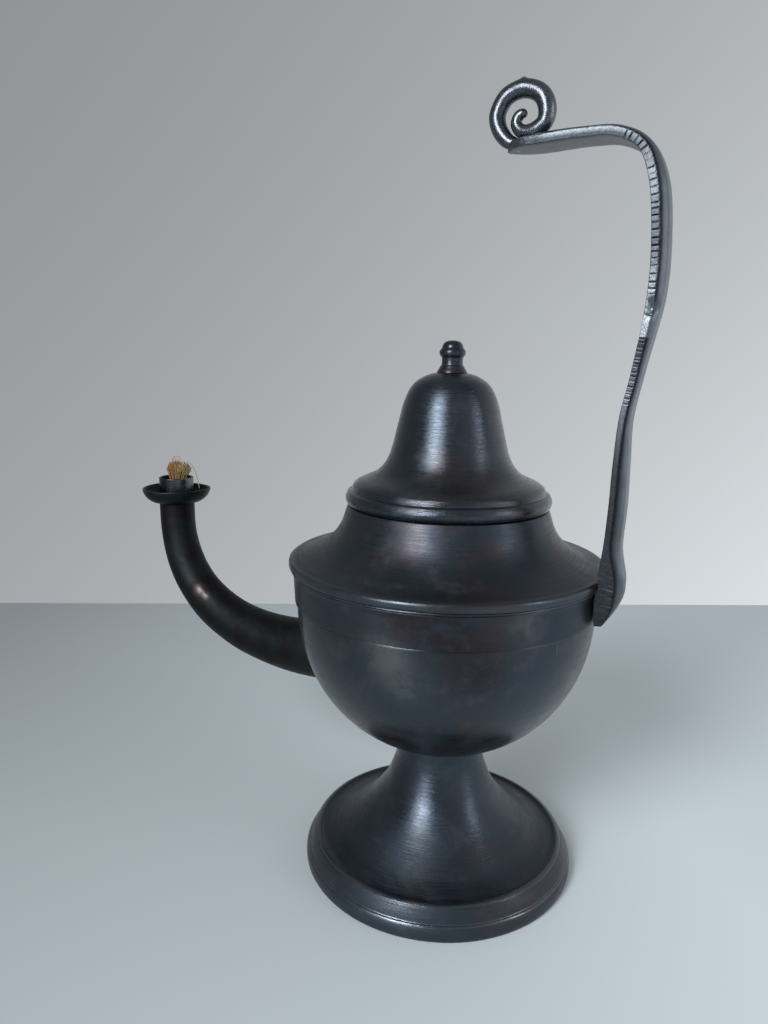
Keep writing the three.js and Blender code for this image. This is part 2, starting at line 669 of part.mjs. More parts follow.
function strap() {
  const stations = handleStations();
  const route = new THREE.CatmullRomCurve3(stations.map((s) => new THREE.Vector3(s.x, 0, s.z)));
  const sizes = new THREE.CatmullRomCurve3(
    stations.map((s) => new THREE.Vector3(s.wide, s.edge, s.crown)),
  );
  const steps = 3 * (stations.length - 1);
  const rings = [];
  for (let i = 0; i <= steps; i += 1) {
    const at = route.getPoint(i / steps);
    const along = route.getTangent(i / steps);
    const size = sizes.getPoint(i / steps);
    const section = strapSection(
      (size.x * STRAP_WIDTH) / 2, size.y * STRAP_EDGE, size.z * STRAP_CROWN,
    );
    rings.push(section.map(([across, out]) => new THREE.Vector3(
      at.x - along.z * out,
      across,
      at.z + along.x * out,
    )));
  }
  return lofted(rings);
}

// The scroll rises from the tip, runs over the top and curls in on itself above the arm.
function scroll() {
  const centre = new THREE.Vector3(ARM_TIP + 0.5 * SCROLL_RADIUS, 0, ARM_HEIGHT + 1.42 * SCROLL_RADIUS);
  const volute = [
    [-0.1, -1.3], [-0.64, -1.06], [-0.98, -0.54], [-1.05, 0.04], [-0.72, 0.63], [0.04, 0.88],
    [0.73, 0.6], [1.02, 0.04], [0.95, -0.46], [0.42, -0.76], [-0.1, -0.6], [-0.28, -0.26],
    [-0.1, -0.02], [0.14, -0.1], [0.16, -0.28],
  ];
  const route = new THREE.CatmullRomCurve3(volute.map(([across, up]) => (
    new THREE.Vector3(centre.x + across * SCROLL_RADIUS, 0, centre.z + up * SCROLL_RADIUS)
  )));
  const share = through(0.5, 0.62, 0.84, 0.98, 1, 0.98, 0.92, 0.72, 0.5, 0.42, 0.4);
  return rod(route, (along) => share(along) * SCROLL_ROD_RADIUS, 42, 9);
}

function handle() {
  return strap().add(scroll()).subtract(reservoirEnvelope(SEAM));
}

// Assembly

function place(group, name, solid, material) {
  const mesh = new THREE.Mesh(toGeometry(solid), material);
  mesh.name = name;
  group.add(mesh);
}

const body = new THREE.Group();
place(body, 'foot', foot(), darkPewter);
place(body, 'bowl', bowl(), darkPewter);
place(body, 'shoulder', shoulder(), darkPewter);
place(body, 'spout', spout(), spoutPewter);
place(body, 'handle', handle(), handlePewter);
place(body, 'wick_cord', wickCord(), wickYarn);

const cover = new THREE.Group();
cover.position.z = MOUTH_TOP + SEAM;
place(cover, 'lid', lid(), darkPewter);
place(cover, 'lid_ring', lidRing(), darkPewter);
place(cover, 'finial', finial(), darkPewter);

const burner = new THREE.Group();
burner.position.copy(SPOUT_TIP);
place(burner, 'drip_pan', dripPan(), spoutPewter);
place(burner, 'wick_tube', wickTube(), handlePewter);
place(burner, 'wick_tuft', wickTuft(), wickYarn);

// The origin is the middle of the space that the lamp takes up, at the level it stands on.
const lamp = new THREE.Group();
lamp.add(body, cover, burner);
lamp.updateMatrixWorld(true);
const extent = new THREE.Box3().setFromObject(lamp, true);
lamp.position.x = -(extent.min.x + extent.max.x) / 2;
lamp.updateMatrixWorld(true);

export default lamp;
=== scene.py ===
import math
import random

import bmesh
import bpy
from mathutils import Matrix, Vector, kdtree, noise


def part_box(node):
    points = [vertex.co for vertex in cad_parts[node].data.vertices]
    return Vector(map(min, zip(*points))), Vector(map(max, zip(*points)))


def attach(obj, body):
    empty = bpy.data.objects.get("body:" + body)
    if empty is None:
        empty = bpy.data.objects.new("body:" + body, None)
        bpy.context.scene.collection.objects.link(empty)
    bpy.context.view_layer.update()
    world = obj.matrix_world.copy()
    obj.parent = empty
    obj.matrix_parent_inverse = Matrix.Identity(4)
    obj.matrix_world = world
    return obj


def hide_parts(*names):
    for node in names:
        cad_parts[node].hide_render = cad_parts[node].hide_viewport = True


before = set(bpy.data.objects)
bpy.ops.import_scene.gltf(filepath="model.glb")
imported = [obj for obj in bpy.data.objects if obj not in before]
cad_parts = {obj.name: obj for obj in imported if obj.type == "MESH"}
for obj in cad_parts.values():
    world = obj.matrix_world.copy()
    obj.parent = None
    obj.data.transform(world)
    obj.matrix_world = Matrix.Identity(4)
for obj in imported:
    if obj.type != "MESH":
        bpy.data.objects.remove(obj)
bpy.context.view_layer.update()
random.seed(7)

# Places and sizes are in millimetres from the lamp's axis and the level it stands on, and most
# of them are read from the frame. MM turns them into metres.
MM = 0.001


def low(node, axis):
    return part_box(node)[0][axis] / MM


def high(node, axis):
    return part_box(node)[1][axis] / MM


AXIS_X = (low("foot", 0) + high("foot", 0)) / 2
AXIS = (AXIS_X, 0, 0)
TIP_X = (low("wick_tube", 0) + high("wick_tube", 0)) / 2 - AXIS_X
BOWL_BOTTOM = low("bowl", 2)
BOWL_RADIUS = high("bowl", 1)
LIP_RADIUS = high("shoulder", 1)
BOWL_EDGE = low("shoulder", 2)
MOUTH_TOP = high("shoulder", 2)
LID_BOTTOM = low("lid", 2)
LID_TOP = high("lid", 2)
PAN_FLOOR = low("drip_pan", 2)
PAN_RIM = high("drip_pan", 2)
PAN_RADIUS = high("drip_pan", 1)
TUBE_TOP = high("wick_tube", 2)
TUBE_RADIUS = high("wick_tube", 1)
HANDLE_END = low("handle", 2)

# Sizes that the CAD's castings share
BOWL_WALL = 2.4
BOWL_FULLNESS = 2.1  # 2 would be a plain ellipse
LIP_OVERHANG = 1.8  # of the lip past the band
SEAM = 0.3  # left for solder between two pieces
TONGUE = BOWL_RADIUS - BOWL_WALL + 1  # radius of the rim inside the shoulder

# Camera at the photograph's place
CAMERA_X = 117.14
CAMERA_Y = -263.10
CAMERA_Z = 201.92
CAMERA_HEADING = 118.83  # degrees anticlockwise from +X
CAMERA_TILT = -11.5
CAMERA_ROLL = 0.935
CAMERA_LENS = 26.9

# Stage: the shelf ends at the cabinet's back wall
WALL_DISTANCE = 322.2  # from the lamp's axis
WALL_HEADING = 31.25  # degrees anticlockwise from +X
SHELF_HALF_WIDTH = 750.0
SHELF_DEPTH = 900.0

# Meshes of the turned pieces
ROUND = 192
OUTLINE_STEP = 1.0
CORNER = 0.25  # rounding of an outline's corners


def add_object(name, data):
    obj = bpy.data.objects.new(name, data)
    bpy.context.scene.collection.objects.link(obj)
    return obj


def make_camera():
    camera = add_object("camera", bpy.data.cameras.new("camera"))
    camera.data.lens = CAMERA_LENS
    heading, tilt = math.radians(CAMERA_HEADING), math.radians(CAMERA_TILT)
    ahead = Vector((
        math.cos(heading) * math.cos(tilt), math.sin(heading) * math.cos(tilt), math.sin(tilt),
    ))
    right = ahead.cross(up(1)).normalized()
    above = right.cross(ahead)
    turn = Matrix((right, above, -ahead)).transposed() @ Matrix.Rotation(
        math.radians(CAMERA_ROLL), 3, "Z"
    )
    place = Vector((AXIS_X + CAMERA_X, CAMERA_Y, CAMERA_Z)) * MM
    camera.matrix_world = Matrix.Translation(place) @ turn.to_4x4()
    bpy.context.scene.camera = camera


# Curves and outlines

TINY = 1e-4


def up(height):
    return Vector((0, 0, height))


def direction(line, i):
    """The way a line runs at its point i."""
    return (line[min(i + 1, len(line) - 1)] - line[max(i - 1, 0)]).normalized()


def spline(points, step, knot_axes=2):
    """Points about every step along a smooth line through the given ones."""
    knots = [Vector(p) for p in points]
    if len(knots) == 2:
        count = max(1, round((knots[1] - knots[0]).length / step))
        return [knots[0].lerp(knots[1], i / count) for i in range(count + 1)]
    knots = [2 * knots[0] - knots[1], *knots, 2 * knots[-1] - knots[-2]]
    line = []
    for i in range(1, len(knots) - 2):
        a, b, c, d = knots[i - 1:i + 3]
        spans = [
            max(TINY, sum((q[k] - p[k]) ** 2 for k in range(knot_axes)) ** 0.25)
            for p, q in ((a, b), (b, c), (c, d))
        ]
        leave = (b - a) / spans[0] - (c - a) / (spans[0] + spans[1]) + (c - b) / spans[1]
        reach = (c - b) / spans[1] - (d - b) / (spans[1] + spans[2]) + (d - c) / spans[2]
        leave, reach = leave * spans[1], reach * spans[1]
        length = sum((c[k] - b[k]) ** 2 for k in range(knot_axes)) ** 0.5
        count = max(1, round(length / step))
        for j in range(count):
            t = j / count
            line.append(
                b * (2 * t ** 3 - 3 * t ** 2 + 1) + leave * (t ** 3 - 2 * t ** 2 + t)
                + c * (3 * t ** 2 - 2 * t ** 3) + reach * (t ** 3 - t ** 2)
            )
    line.append(knots[-2])
    return line


def outline(*runs, step=OUTLINE_STEP, closed=True):
    """Smooth runs of (radius, height) that meet at slightly rounded corners.

    Each run goes on from the end of the one before, but after the axis from its own first point.
    A closed outline goes straight back to its start.
    """
    line, corners, start = [], set(), []
    if closed:
        runs = [*runs, runs[0][:1]]
    for run in runs:
        sampled = spline([*start, *run], step)
        start = [run[-1]] if run[-1][0] else []
        if line:
            corners.add(len(line) - 1)
            sampled = sampled[1:]
        line += sampled
    if closed:
        line.pop()
        corners.add(0)
    rounded = []
    for i, corner in enumerate(line):
        if i not in corners:
            rounded.append(corner)
            continue
        enter, leave = [
            corner + (other - corner).normalized() * min(CORNER, 0.45 * (other - corner).length)
            for other in (line[i - 1], line[(i + 1) % len(line)])
        ]
        for t in (0, 0.33, 0.67, 1):
            rounded.append(enter.lerp(corner, t).lerp(corner.lerp(leave, t), t))
    return rounded


# Meshes


def make_object(name, points, faces, origin):
    """A closed shell from points in millimetres round an origin, all faces facing out."""
    mesh = bpy.data.meshes.new(name)
    mesh.from_pydata([tuple(Vector(p) * MM) for p in points], [], faces)
    shell = bmesh.new()
    shell.from_mesh(mesh)
    bmesh.ops.recalc_face_normals(shell, faces=shell.faces)
    shell.to_mesh(mesh)
    shell.free()
    mesh.shade_smooth()
    obj = add_object(name, mesh)
    obj.location = Vector(origin) * MM
    return obj


def sharpen(obj, degrees=40):
    obj.data.set_sharp_from_angle(angle=math.radians(degrees))


def waver(point, size=22.0, depth=0.07):
    """A slow unevenness of hand-finished metal, as a share of depth in millimetres."""
    return depth * noise.noise(Vector(point) / size)


def turned(name, line, origin, segments=ROUND, uneven=0.07, wobble=None):
    """Turns a closed outline, or one that starts and ends on the axis, round the upright axis."""
    points, rows = [], []
    for radius, height in line:
        if radius < TINY:
            rows.append([len(points)])
            points.append((0, 0, height))
            continue
        row = []
        for s in range(segments):
            angle = 2 * math.pi * s / segments
            out = Vector((math.cos(angle), math.sin(angle), 0))
            far = radius + waver(out * radius + up(height + origin[2]), depth=uneven)
            lift = 0
            if wobble:
                more, lift = wobble(angle, radius)
                far += more
            row.append(len(points))
            points.append(out * far + up(height + lift))
        rows.append(row)
    faces = []
    closing = len(rows[0]) > 1 and len(rows[-1]) > 1
    for i in range(len(rows) if closing else len(rows) - 1):
        a, b = rows[i], rows[(i + 1) % len(rows)]
        for s in range(segments):
            t = (s + 1) % segments
            if len(a) == 1:
                faces.append((a[0], b[t], b[s]))
            elif len(b) == 1:
                faces.append((a[s], a[t], b[0]))
            else:
                faces.append((a[s], a[t], b[t], b[s]))
    obj = make_object(name, points, faces, origin)
    sharpen(obj)
    return obj


def skin(name, rings, looped=False):
    """Skins a row of equal rings round the lamp's axis, closed at both ends or looped into one."""
    sides = len(rings[0])
    points = [p for ring in rings for p in ring]
    faces = []
    for r in range(len(rings) if looped else len(rings) - 1):
        a, b = r * sides, (r + 1) % len(rings) * sides
        for s in range(sides):
            t = (s + 1) % sides
            faces.append((a + s, a + t, b + t, b + s))
    if not looped:
        for start, flip in ((0, True), ((len(rings) - 1) * sides, False)):
            centre = len(points)
            points.append(sum((Vector(points[start + s]) for s in range(sides)), Vector()) / sides)
            for s in range(sides):
                a, b = start + s, start + (s + 1) % sides
                faces.append((b, a, centre) if flip else (a, b, centre))
    return make_object(name, points, faces, AXIS)


def tube_rings(line, radius_at, sides):
    """Rings square to a line, carried along it without twist."""
    rings = []
    side = None
    for i, centre in enumerate(line):
        ahead = direction(line, i)
        if side is None:
            side = ahead.cross(Vector((0, 1, 0)) if abs(ahead.y) < 0.9 else Vector((1, 0, 0)))
        side = (side - ahead * side.dot(ahead)).normalized()
        other = ahead.cross(side)
        radius = radius_at(i / (len(line) - 1))
        rings.append([
            centre + side * (radius * math.cos(2 * math.pi * s / sides))
            + other * (radius * math.sin(2 * math.pi * s / sides))
            for s in range(sides)
        ])
    return rings


def roughen(rings, height_at):
    """Moves each point of the rings out from its ring's middle by the height there."""
    for ring in rings:
        middle = sum(ring, Vector()) / len(ring)
        for k, point in enumerate(ring):
            ring[k] = point + (point - middle).normalized() * height_at(point)
    return rings


def join(obj, others):
    """One object out of several shells."""
    shell = bmesh.new()
    shell.from_mesh(obj.data)
    for other in others:
        shell.from_mesh(other.data)
        bpy.data.objects.remove(other)
    shell.to_mesh(obj.data)
    shell.free()
    return obj


def combine(obj, other, operation):
    """A boolean of two closed shells, kept as obj's own mesh."""
    cut = obj.modifiers.new("cut", "BOOLEAN")
    cut.operation, cut.solver, cut.object = operation, "EXACT", other
    bpy.context.view_layer.update()
    graph = bpy.context.evaluated_depsgraph_get()
    mesh = bpy.data.meshes.new_from_object(obj.evaluated_get(graph))
    obj.modifiers.remove(cut)
    obj.data = mesh
    bpy.data.objects.remove(other)
    return obj


def set_values(obj, **layers):
    """Writes numbers per point, for the materials to read."""
    for name, values in layers.items():
        layer = obj.data.attributes.new(name, "FLOAT", "POINT")
        for i, value in enumerate(values):
            layer.data[i].value = value


def finish_piece(obj, body, slot, material, *nodes):
    obj.data.materials.clear()
    obj.data.materials.append(material)
    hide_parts(*nodes)
    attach(obj, body)


# Materials


class Paint:
    """A short way to write the nodes of a material or of the room's light."""

    def __init__(self, name, kind="materials"):
        self.owner = getattr(bpy.data, kind).new(name)
        self.owner.use_nodes = True
        self.tree = self.owner.node_tree

    def node(self, kind, inputs=(), **settings):
        node = self.tree.nodes.new("ShaderNode" + kind)
        for key, value in settings.items():
            setattr(node, key, value)
        for key, value in dict(inputs).items():
            self.put(node.inputs[key], value)
        return node

    def put(self, socket, value):
        if isinstance(value, bpy.types.NodeSocket):
            self.tree.links.new(value, socket)
        else:
            socket.default_value = value

    def math(self, operation, *values, clamp=False):
        node = self.node("Math", operation=operation, use_clamp=clamp)
        for i, value in enumerate(values):
            self.put(node.inputs[i], value)
        return node.outputs[0]

    def plus(self, a, b):
        return self.math("ADD", a, b)

    def minus(self, a, b):
        return self.math("SUBTRACT", a, b)

    def times(self, a, b, clamp=False):
        return self.math("MULTIPLY", a, b, clamp=clamp)

    def place(self):
        """Coordinates in millimetres round the piece's own origin, and each of the three."""
        here = self.node("TexCoord").outputs["Object"]
        scaled = self.node("VectorMath", {0: here, 1: (1000, 1000, 1000)}, operation="MULTIPLY")
        parts = self.node("SeparateXYZ", {0: scaled.outputs[0]})
        return scaled.outputs[0], parts.outputs

    def dot(self, a, b):
        return self.node("VectorMath", {0: a, 1: b}, operation="DOT_PRODUCT").outputs["Value"]

    def vector(self, x, y, z):
        return self.node("CombineXYZ", {0: x, 1: y, 2: z}).outputs[0]

    def noise(self, vector, scale, detail, roughness):
        return self.node("TexNoise", {
            "Vector": vector, "Scale": scale, "Detail": detail, "Roughness": roughness,
        }).outputs["Fac"]

    def band(self, value, start, end):
        """0 below start, 1 above end, and smooth between."""
        node = self.node("MapRange", {
            "Value": value, "From Min": start, "From Max": end,
        }, interpolation_type="SMOOTHSTEP")
        return node.outputs[0]

    def mix(self, share, a, b):
        node = self.node("Mix", {0: share}, data_type="RGBA")
        self.put(node.inputs[6], a)  # 6, 7 and output 2 are the colour sockets
        self.put(node.inputs[7], b)
        return node.outputs[2]

    def near(self, here, spot, reach):
        """1 at a spot in millimetres round the piece's origin, and 0 beyond its reach."""
        away = self.node("VectorMath", {0: here, 1: spot}, operation="DISTANCE").outputs["Value"]
        return self.band(away, reach, 0)

    def scratch(self, here, start, end, width):
        """1 on the straight line from start to end, and 0 beyond its width."""
        span = Vector(end) - Vector(start)
        from_start = self.node("VectorMath", {0: here, 1: start}, operation="SUBTRACT").outputs[0]
        share = self.math("DIVIDE", self.dot(from_start, span), span.length_squared, clamp=True)
        foot = self.node("VectorMath", {0: span}, operation="SCALE")
        self.put(foot.inputs["Scale"], share)
        away = self.node("VectorMath", {0: from_start, 1: foot.outputs[0]}, operation="DISTANCE")
        return self.band(away.outputs["Value"], width, 0)

    def attribute(self, name):
        return self.node("Attribute", attribute_name=name).outputs["Fac"]

    def bump(self, height, distance, strength, normal=None):
        inputs = {"Height": height, "Distance": distance * MM, "Strength": strength}
        if normal:
            inputs["Normal"] = normal
        return self.node("Bump", inputs).outputs[0]

    def shade(self, shader="Principled BSDF", **inputs):
        for key, value in inputs.items():
            self.put(self.tree.nodes[shader].inputs[key.replace("_", " ")], value)
        return self.owner


# Colours of the patina, in linear light
COOL = (0.036, 0.047, 0.062, 1)
WARM = (0.050, 0.043, 0.050, 1)
DULL = (0.088, 0.097, 0.106, 1)
BURNT = (0.023, 0.017, 0.020, 1)
SILVER = (0.335, 0.37, 0.40, 1)
SPOUT_BROWN = (0.0130, 0.0115, 0.0125, 1)
SPOUT_GREY = (0.0155, 0.0190, 0.0215, 1)
# Warm colour of the highlight painted on the spout's smooth spots
SPOUT_RUBBED_HIGHLIGHT = (0.060, 0.048, 0.042, 1)
CAST_DARK = (0.120, 0.134, 0.155, 1)
CAST_PALE = (0.155, 0.170, 0.195, 1)
# Sooty blacks, which also paint shade on the handle's underside and the scroll's inner side
SOOT_AND_SHADE_DARK = (0.013, 0.015, 0.018, 1)
SOOT_AND_SHADE_PALE = (0.034, 0.037, 0.044, 1)
YARN_RED = (0.27, 0.125, 0.038, 1)
YARN_YELLOW = (0.30, 0.22, 0.09, 1)
YARN_FLUFF = (0.52, 0.40, 0.22, 1)
FLARE = (31, 19)  # heights between which the foot turns matt


def turned_pewter(name, lines, rough, coat, warm=0.42, hazy=(), burnt=(), scratches=(),
                  polished_highlight_rings=(), polish_and_sheen=0.1, beyond=0, matt_flare=False):
    """Dark patina over pewter that was finished on a lathe.

    Hazy and burnt give spots and their reach, scratches their two ends, and the rings the bottom and top of
    each band outer than the radius beyond that is smoother and painted lighter as a painted highlight, all
    in millimetres round the piece's origin.
    """
    p = Paint(name)
    here, (x, y, z) = p.place()
    radius = p.math("SQRT", p.plus(p.times(x, x), p.times(y, y)))
    groove = p.vector(radius, z, p.times(x, 0.05))
    fine = p.noise(groove, 2.0, 3.0, 0.75)
    coarse = p.noise(groove, 0.4, 2.0, 0.55)
    stains = p.noise(here, 0.03, 5.0, 0.6)
    cloud = p.noise(here, 0.09, 6.0, 0.65)
    grain = p.noise(here, 1.8, 4.0, 0.7)
    colour = p.mix(p.band(stains, warm, warm + 0.18), COOL, WARM)
    for spot, reach in burnt:
        patch = p.times(p.near(here, spot, reach), p.band(cloud, 0.25, 0.55))
        colour = p.mix(patch, colour, BURNT)
    pale = p.times(p.band(cloud, 0.48, 0.74), 0.45)
    for spot, reach in hazy:
        patch = p.times(p.near(here, spot, reach), p.band(cloud, 0.30, 0.62))
        pale = p.math("MAXIMUM", pale, p.times(patch, 1.2, clamp=True))
    colour = p.mix(pale, colour, DULL)
    streaks = p.times(p.minus(fine, 0.5), 0.3 + 0.5 * lines)
    dirt = p.times(p.minus(cloud, 0.5), 0.5)
    roughness = p.plus(p.plus(streaks, dirt), rough)
    for bottom, top in polished_highlight_rings:
        ring = p.times(p.band(z, bottom - 0.2, bottom + 0.1), p.band(z, top + 0.2, top - 0.1))
        ring = p.times(ring, p.band(radius, beyond - 0.4, beyond))
        roughness = p.minus(roughness, p.times(ring, polish_and_sheen))
        # Painted highlight: each ring is also mixed toward silver.
        colour = p.mix(p.times(ring, 0.6 * polish_and_sheen), colour, SILVER)
    if matt_flare:
        roughness = p.plus(roughness, p.times(p.band(z, *FLARE), 0.18))
    height = p.plus(fine, p.times(coarse, 0.5))
    for start, end in scratches:
        cut = p.scratch(here, start, end, 0.2)
        height = p.minus(height, p.times(cut, 0.6))
        colour = p.mix(p.times(cut, 0.35), colour, SILVER)
    normal = p.bump(height, 0.16, lines)
    normal = p.bump(grain, 0.03, 0.4, normal)
    return p.shade(
        Base_Color=colour, Metallic=0.92, Roughness=roughness, Normal=normal, Coat_Weight=coat,
        Coat_Roughness=0.14, Coat_Normal=normal, Anisotropic=0.35, Anisotropic_Rotation=0.25,
        Tangent=p.node("Tangent", direction_type="RADIAL", axis="Z").outputs[0],
    )


def drawn_pewter(name, rough, rubbed_highlights=()):
    """Smooth brown-black patina, smoother at the given spots, where a warm highlight is also painted into
    the colour.
    """
    p = Paint(name)
    here, _ = p.place()
    stains = p.noise(here, 0.09, 4.0, 0.6)
    cloud = p.noise(here, 0.35, 5.0, 0.6)
    grain = p.noise(here, 2.0, 5.0, 0.7)
    colour = p.mix(p.band(stains, 0.42, 0.62), SPOUT_BROWN, SPOUT_GREY)
    roughness = p.plus(p.times(p.minus(cloud, 0.5), 0.35), rough)
    for spot, reach in rubbed_highlights:
        shine = p.near(here, spot, reach)
        # Painted highlight: the colour is lifted to a warm brown here, besides the lower roughness.
        colour = p.mix(p.times(shine, 0.8), colour, SPOUT_RUBBED_HIGHLIGHT)
        roughness = p.minus(roughness, p.times(shine, 0.3))
    return p.shade(
        Base_Color=colour, Metallic=0.9, Roughness=roughness,
        Normal=p.bump(grain, 0.04, 0.5, p.bump(cloud, 0.12, 0.4)),
    )


def cast_pewter(name):
    """Grey cast metal: the first attribute makes it bright with filed wear and painted highlights, dark
    makes it black with sooty patina and painted shade, and gloss makes it smoother.
    """
    p = Paint(name)
    here, _ = p.place()
    worn, dark, gloss = p.attribute("worn"), p.attribute("dark"), p.attribute("gloss")
    speck = p.noise(here, 1.6, 6.0, 0.75)
    cloud = p.noise(here, 0.12, 4.0, 0.6)
    colour = p.mix(p.band(cloud, 0.35, 0.7), CAST_DARK, CAST_PALE)
    # Sooty colour, also used for painted shade
    soot_and_shade = p.mix(p.band(speck, 0.4, 0.6), SOOT_AND_SHADE_DARK, SOOT_AND_SHADE_PALE)
    colour = p.mix(dark, colour, soot_and_shade)
    colour = p.mix(p.times(worn, p.band(speck, 0.38, 0.58)), colour, SILVER)
    roughness = p.plus(p.times(p.minus(speck, 0.5), 0.45), 0.36)
    roughness = p.minus(roughness, p.times(gloss, 0.16))
    return p.shade(
        Base_Color=colour, Metallic=0.95, Roughness=roughness,
        Normal=p.bump(speck, 0.1, 0.55, p.bump(cloud, 0.25, 0.3)),
    )


def yarn(name):
    """Browned flax yarn, each strand its own tint."""
    p = Paint(name)
    tint = p.attribute("tint")
    here, _ = p.place()
    fluff = p.noise(here, 6.0, 4.0, 0.7)
    colour = p.mix(p.band(tint, 0.2, 0.8), YARN_RED, YARN_YELLOW)
    colour = p.mix(p.times(p.band(fluff, 0.4, 0.7), 0.5), colour, YARN_FLUFF)
    return p.shade(Base_Color=colour, Roughness=0.9, Normal=p.bump(fluff, 0.1, 0.6))


# Turned pieces


def foot_line():
    """The hollow foot as (radius, height), outside first and then the underside."""
    neck_top = BOWL_BOTTOM + 1.2
    return outline(
        [(50.6, 0), (53.4, 0)],
        [(53.95, 1.1), (54.05, 2.8), (53.85, 4.7), (53.1, 6.0)],
        [(52.5, 6.25)],
        [(52.1, 7.6), (50.5, 10.7)],
        [(49.9, 11.45), (49.0, 11.9), (48.1, 12.0)],
        [(47.0, 11.45)],
        [(46, 11.45), (44, 12.0), (40, 13.6), (35, 17.2), (30, 21.8), (26, 26.4),
         (22, 32.2), (19.6, 37.6), (17.6, 43.6), (17.05, 47.4)],
        [(16.95, neck_top)],
        [(10, BOWL_BOTTOM - 0.1), (0, BOWL_BOTTOM - 0.4)],
        [(0, BOWL_BOTTOM - 5), (11.8, BOWL_BOTTOM - 8)],
        [(15, 37), (21, 27.5), (31, 17.5), (40, 11.2), (46.2, 8.8)],
        [(50.2, 6.2), (50.6, 4.5), (50.6, 0)],
        closed=False,
    )


def bowl_wall(inset, points):
    """The cup's wall as a squared ellipse, from the axis up to its edge."""
    depth = BOWL_EDGE - BOWL_BOTTOM - inset
    line = []
    for i in range(points + 1):
        angle = math.pi / 2 * i / points
        across = math.sin(angle) ** (2 / BOWL_FULLNESS) if i else 0
        down = math.cos(angle) ** (2 / BOWL_FULLNESS) if i < points else 0
        line.append(Vector(((BOWL_RADIUS - inset) * across, BOWL_EDGE - depth * down)))
    return line


def bowl_line():
    """The bowl with its edge and the tongue that stands up inside the shoulder."""
    edge = BOWL_EDGE - 0.05
    outside = bowl_wall(0, 90)
    outside[-1] = Vector((BOWL_RADIUS - 0.25, edge - 0.02))
    outside.insert(-1, Vector((BOWL_RADIUS - 0.02, edge - 0.3)))
    inside = list(reversed(bowl_wall(BOWL_WALL, 40)))
    rim_top = high("bowl", 2)
    rim = [Vector((TONGUE, edge)), Vector((TONGUE, rim_top)), Vector((TONGUE - 1, rim_top))]
    return [*outside, *rim, *inside]


def shoulder_line():
    """Band, double-lined lip, shoulder and mouth, then back down inside."""
    band = LIP_RADIUS - LIP_OVERHANG
    inside_band = TONGUE + SEAM
    mouth = 38.0
    bore = mouth - 2.2
    return outline(
        [(inside_band, BOWL_EDGE), (band - 0.5, BOWL_EDGE)],
        [(band, 120)],
        [(band + 0.15, 121.2), (band + 0.5, 122.1)],
        [(band + 0.25, 122.4)],
        [(band + 0.9, 122.6), (band + 1.15, 122.95), (band + 1.1, 123.25)],
        [(band + 0.8, 123.5)],
        [(LIP_RADIUS - 0.25, 123.75), (LIP_RADIUS, 124.3)],
        [(LIP_RADIUS, 125.6)],
        [(LIP_RADIUS - 0.2, 126.3), (LIP_RADIUS - 0.8, 126.75)],
        [(58.4, 127.1), (57.0, 127.5)],
        [(54, 128.4), (50.5, 129.9), (47, 131.9), (44, 134.5), (42, 137), (40.3, 140.2),
         (39, 144), (mouth, MOUTH_TOP)],
        [(bore, MOUTH_TOP)],
        [(bore, 138)],
        [(37.6, 133.6), (42, 129.6), (48, 126.6), (inside_band - 2, 125.2)],
        [(inside_band, 122.4)],
    )


def lid_line():
    """The hollow lid, heights above its own lower face."""
    ring = 35.7
    hole = 2.9
    top = LID_TOP - LID_BOTTOM
    return outline(
        [(ring, 0), (37.6, 0)],
        [(38.35, 0.5), (38.85, 1.7), (38.85, 3.2), (38.0, 4.9)],
        [(36.5, 5.3)],
        [(36.5, 6.1), (36, 7.3), (34.5, 8.5), (32, 9.7), (29, 11), (26.6, 12.6),
         (24.2, 15.4), (22.4, 19.1), (21.1, 23.6), (20, 28.2), (18.9, 32.8), (17.9, 37), (16.6, 40.6),
         (15.1, 43.5), (13.2, 45.7), (10.8, 47.3), (8.4, 48.4), (5.6, top)],
        [(hole, top)],
        [(hole, top - 2)],
        [(10, 44.9), (14.2, 41), (16.3, 36), (18.2, 28.5), (19.6, 22), (21.5, 16.5),
         (25, 11.6), (31, 7.8), (34.5, 6.2)],
        [(34.5, 4.5)],
        [(ring, 4.5)],
    )


def collar_line():
    """The ring under the lid, heights above its own lower edge."""
    outer, inner = high("lid_ring", 1), high("lid_ring", 1) - 1.8
    top = high("lid_ring", 2) - low("lid_ring", 2)
    return outline(
        [(inner, 0), (outer - 0.6, 0)],
        [(outer, 0.6)],
        [(outer, top)],
        [(inner, top)],
    )


def finial_line():
    """The knob and its peg, heights above the lid's top."""
    peg = low("finial", 2) - LID_TOP
    top = high("finial", 2) - LID_TOP
    return outline(
        [(0, peg), (2.6, peg)],
        [(2.6, 0.02)],
        [(5.65, 0.02)],
        [(5.3, 0.8), (4.7, 1.7), (4.3, 2.5)],
        [(3.95, 2.8)],
        [(3.88, 4), (3.95, 5.4)],
        [(4.2, 5.7), (4.65, 6.4), (4.87, 7.2), (4.7, 8), (4.15, 8.7)],
        [(3.95, 9.0), (3.75, 9.8), (3.1, 10.8), (1.9, top - 0.25), (0, top)],
        step=0.4, closed=False,
    )


PAN_FLAT = 11  # radius of the part of the dish that isn't bent


def pan_line():
    """The dish, heights above the spout's tip."""
    rise = PAN_RIM - PAN_FLOOR
    hole = 6.5
    return outline(
        [(hole, 0), (8.4, 0)],
        [(11.4, 0.9), (13.8, 2.9), (15.1, 5.2), (PAN_RADIUS - 0.05, rise - 0.3)],
        [(PAN_RADIUS - 0.2, rise + 0.05), (PAN_RADIUS - 0.8, rise + 0.1),
         (PAN_RADIUS - 1.3, rise - 0.2)],
        [(13.6, 4.8), (12.2, 3.1), (10.4, 1.9), (8.4, 1.5)],
        [(hole, 1.4)],
        step=0.6,
    )


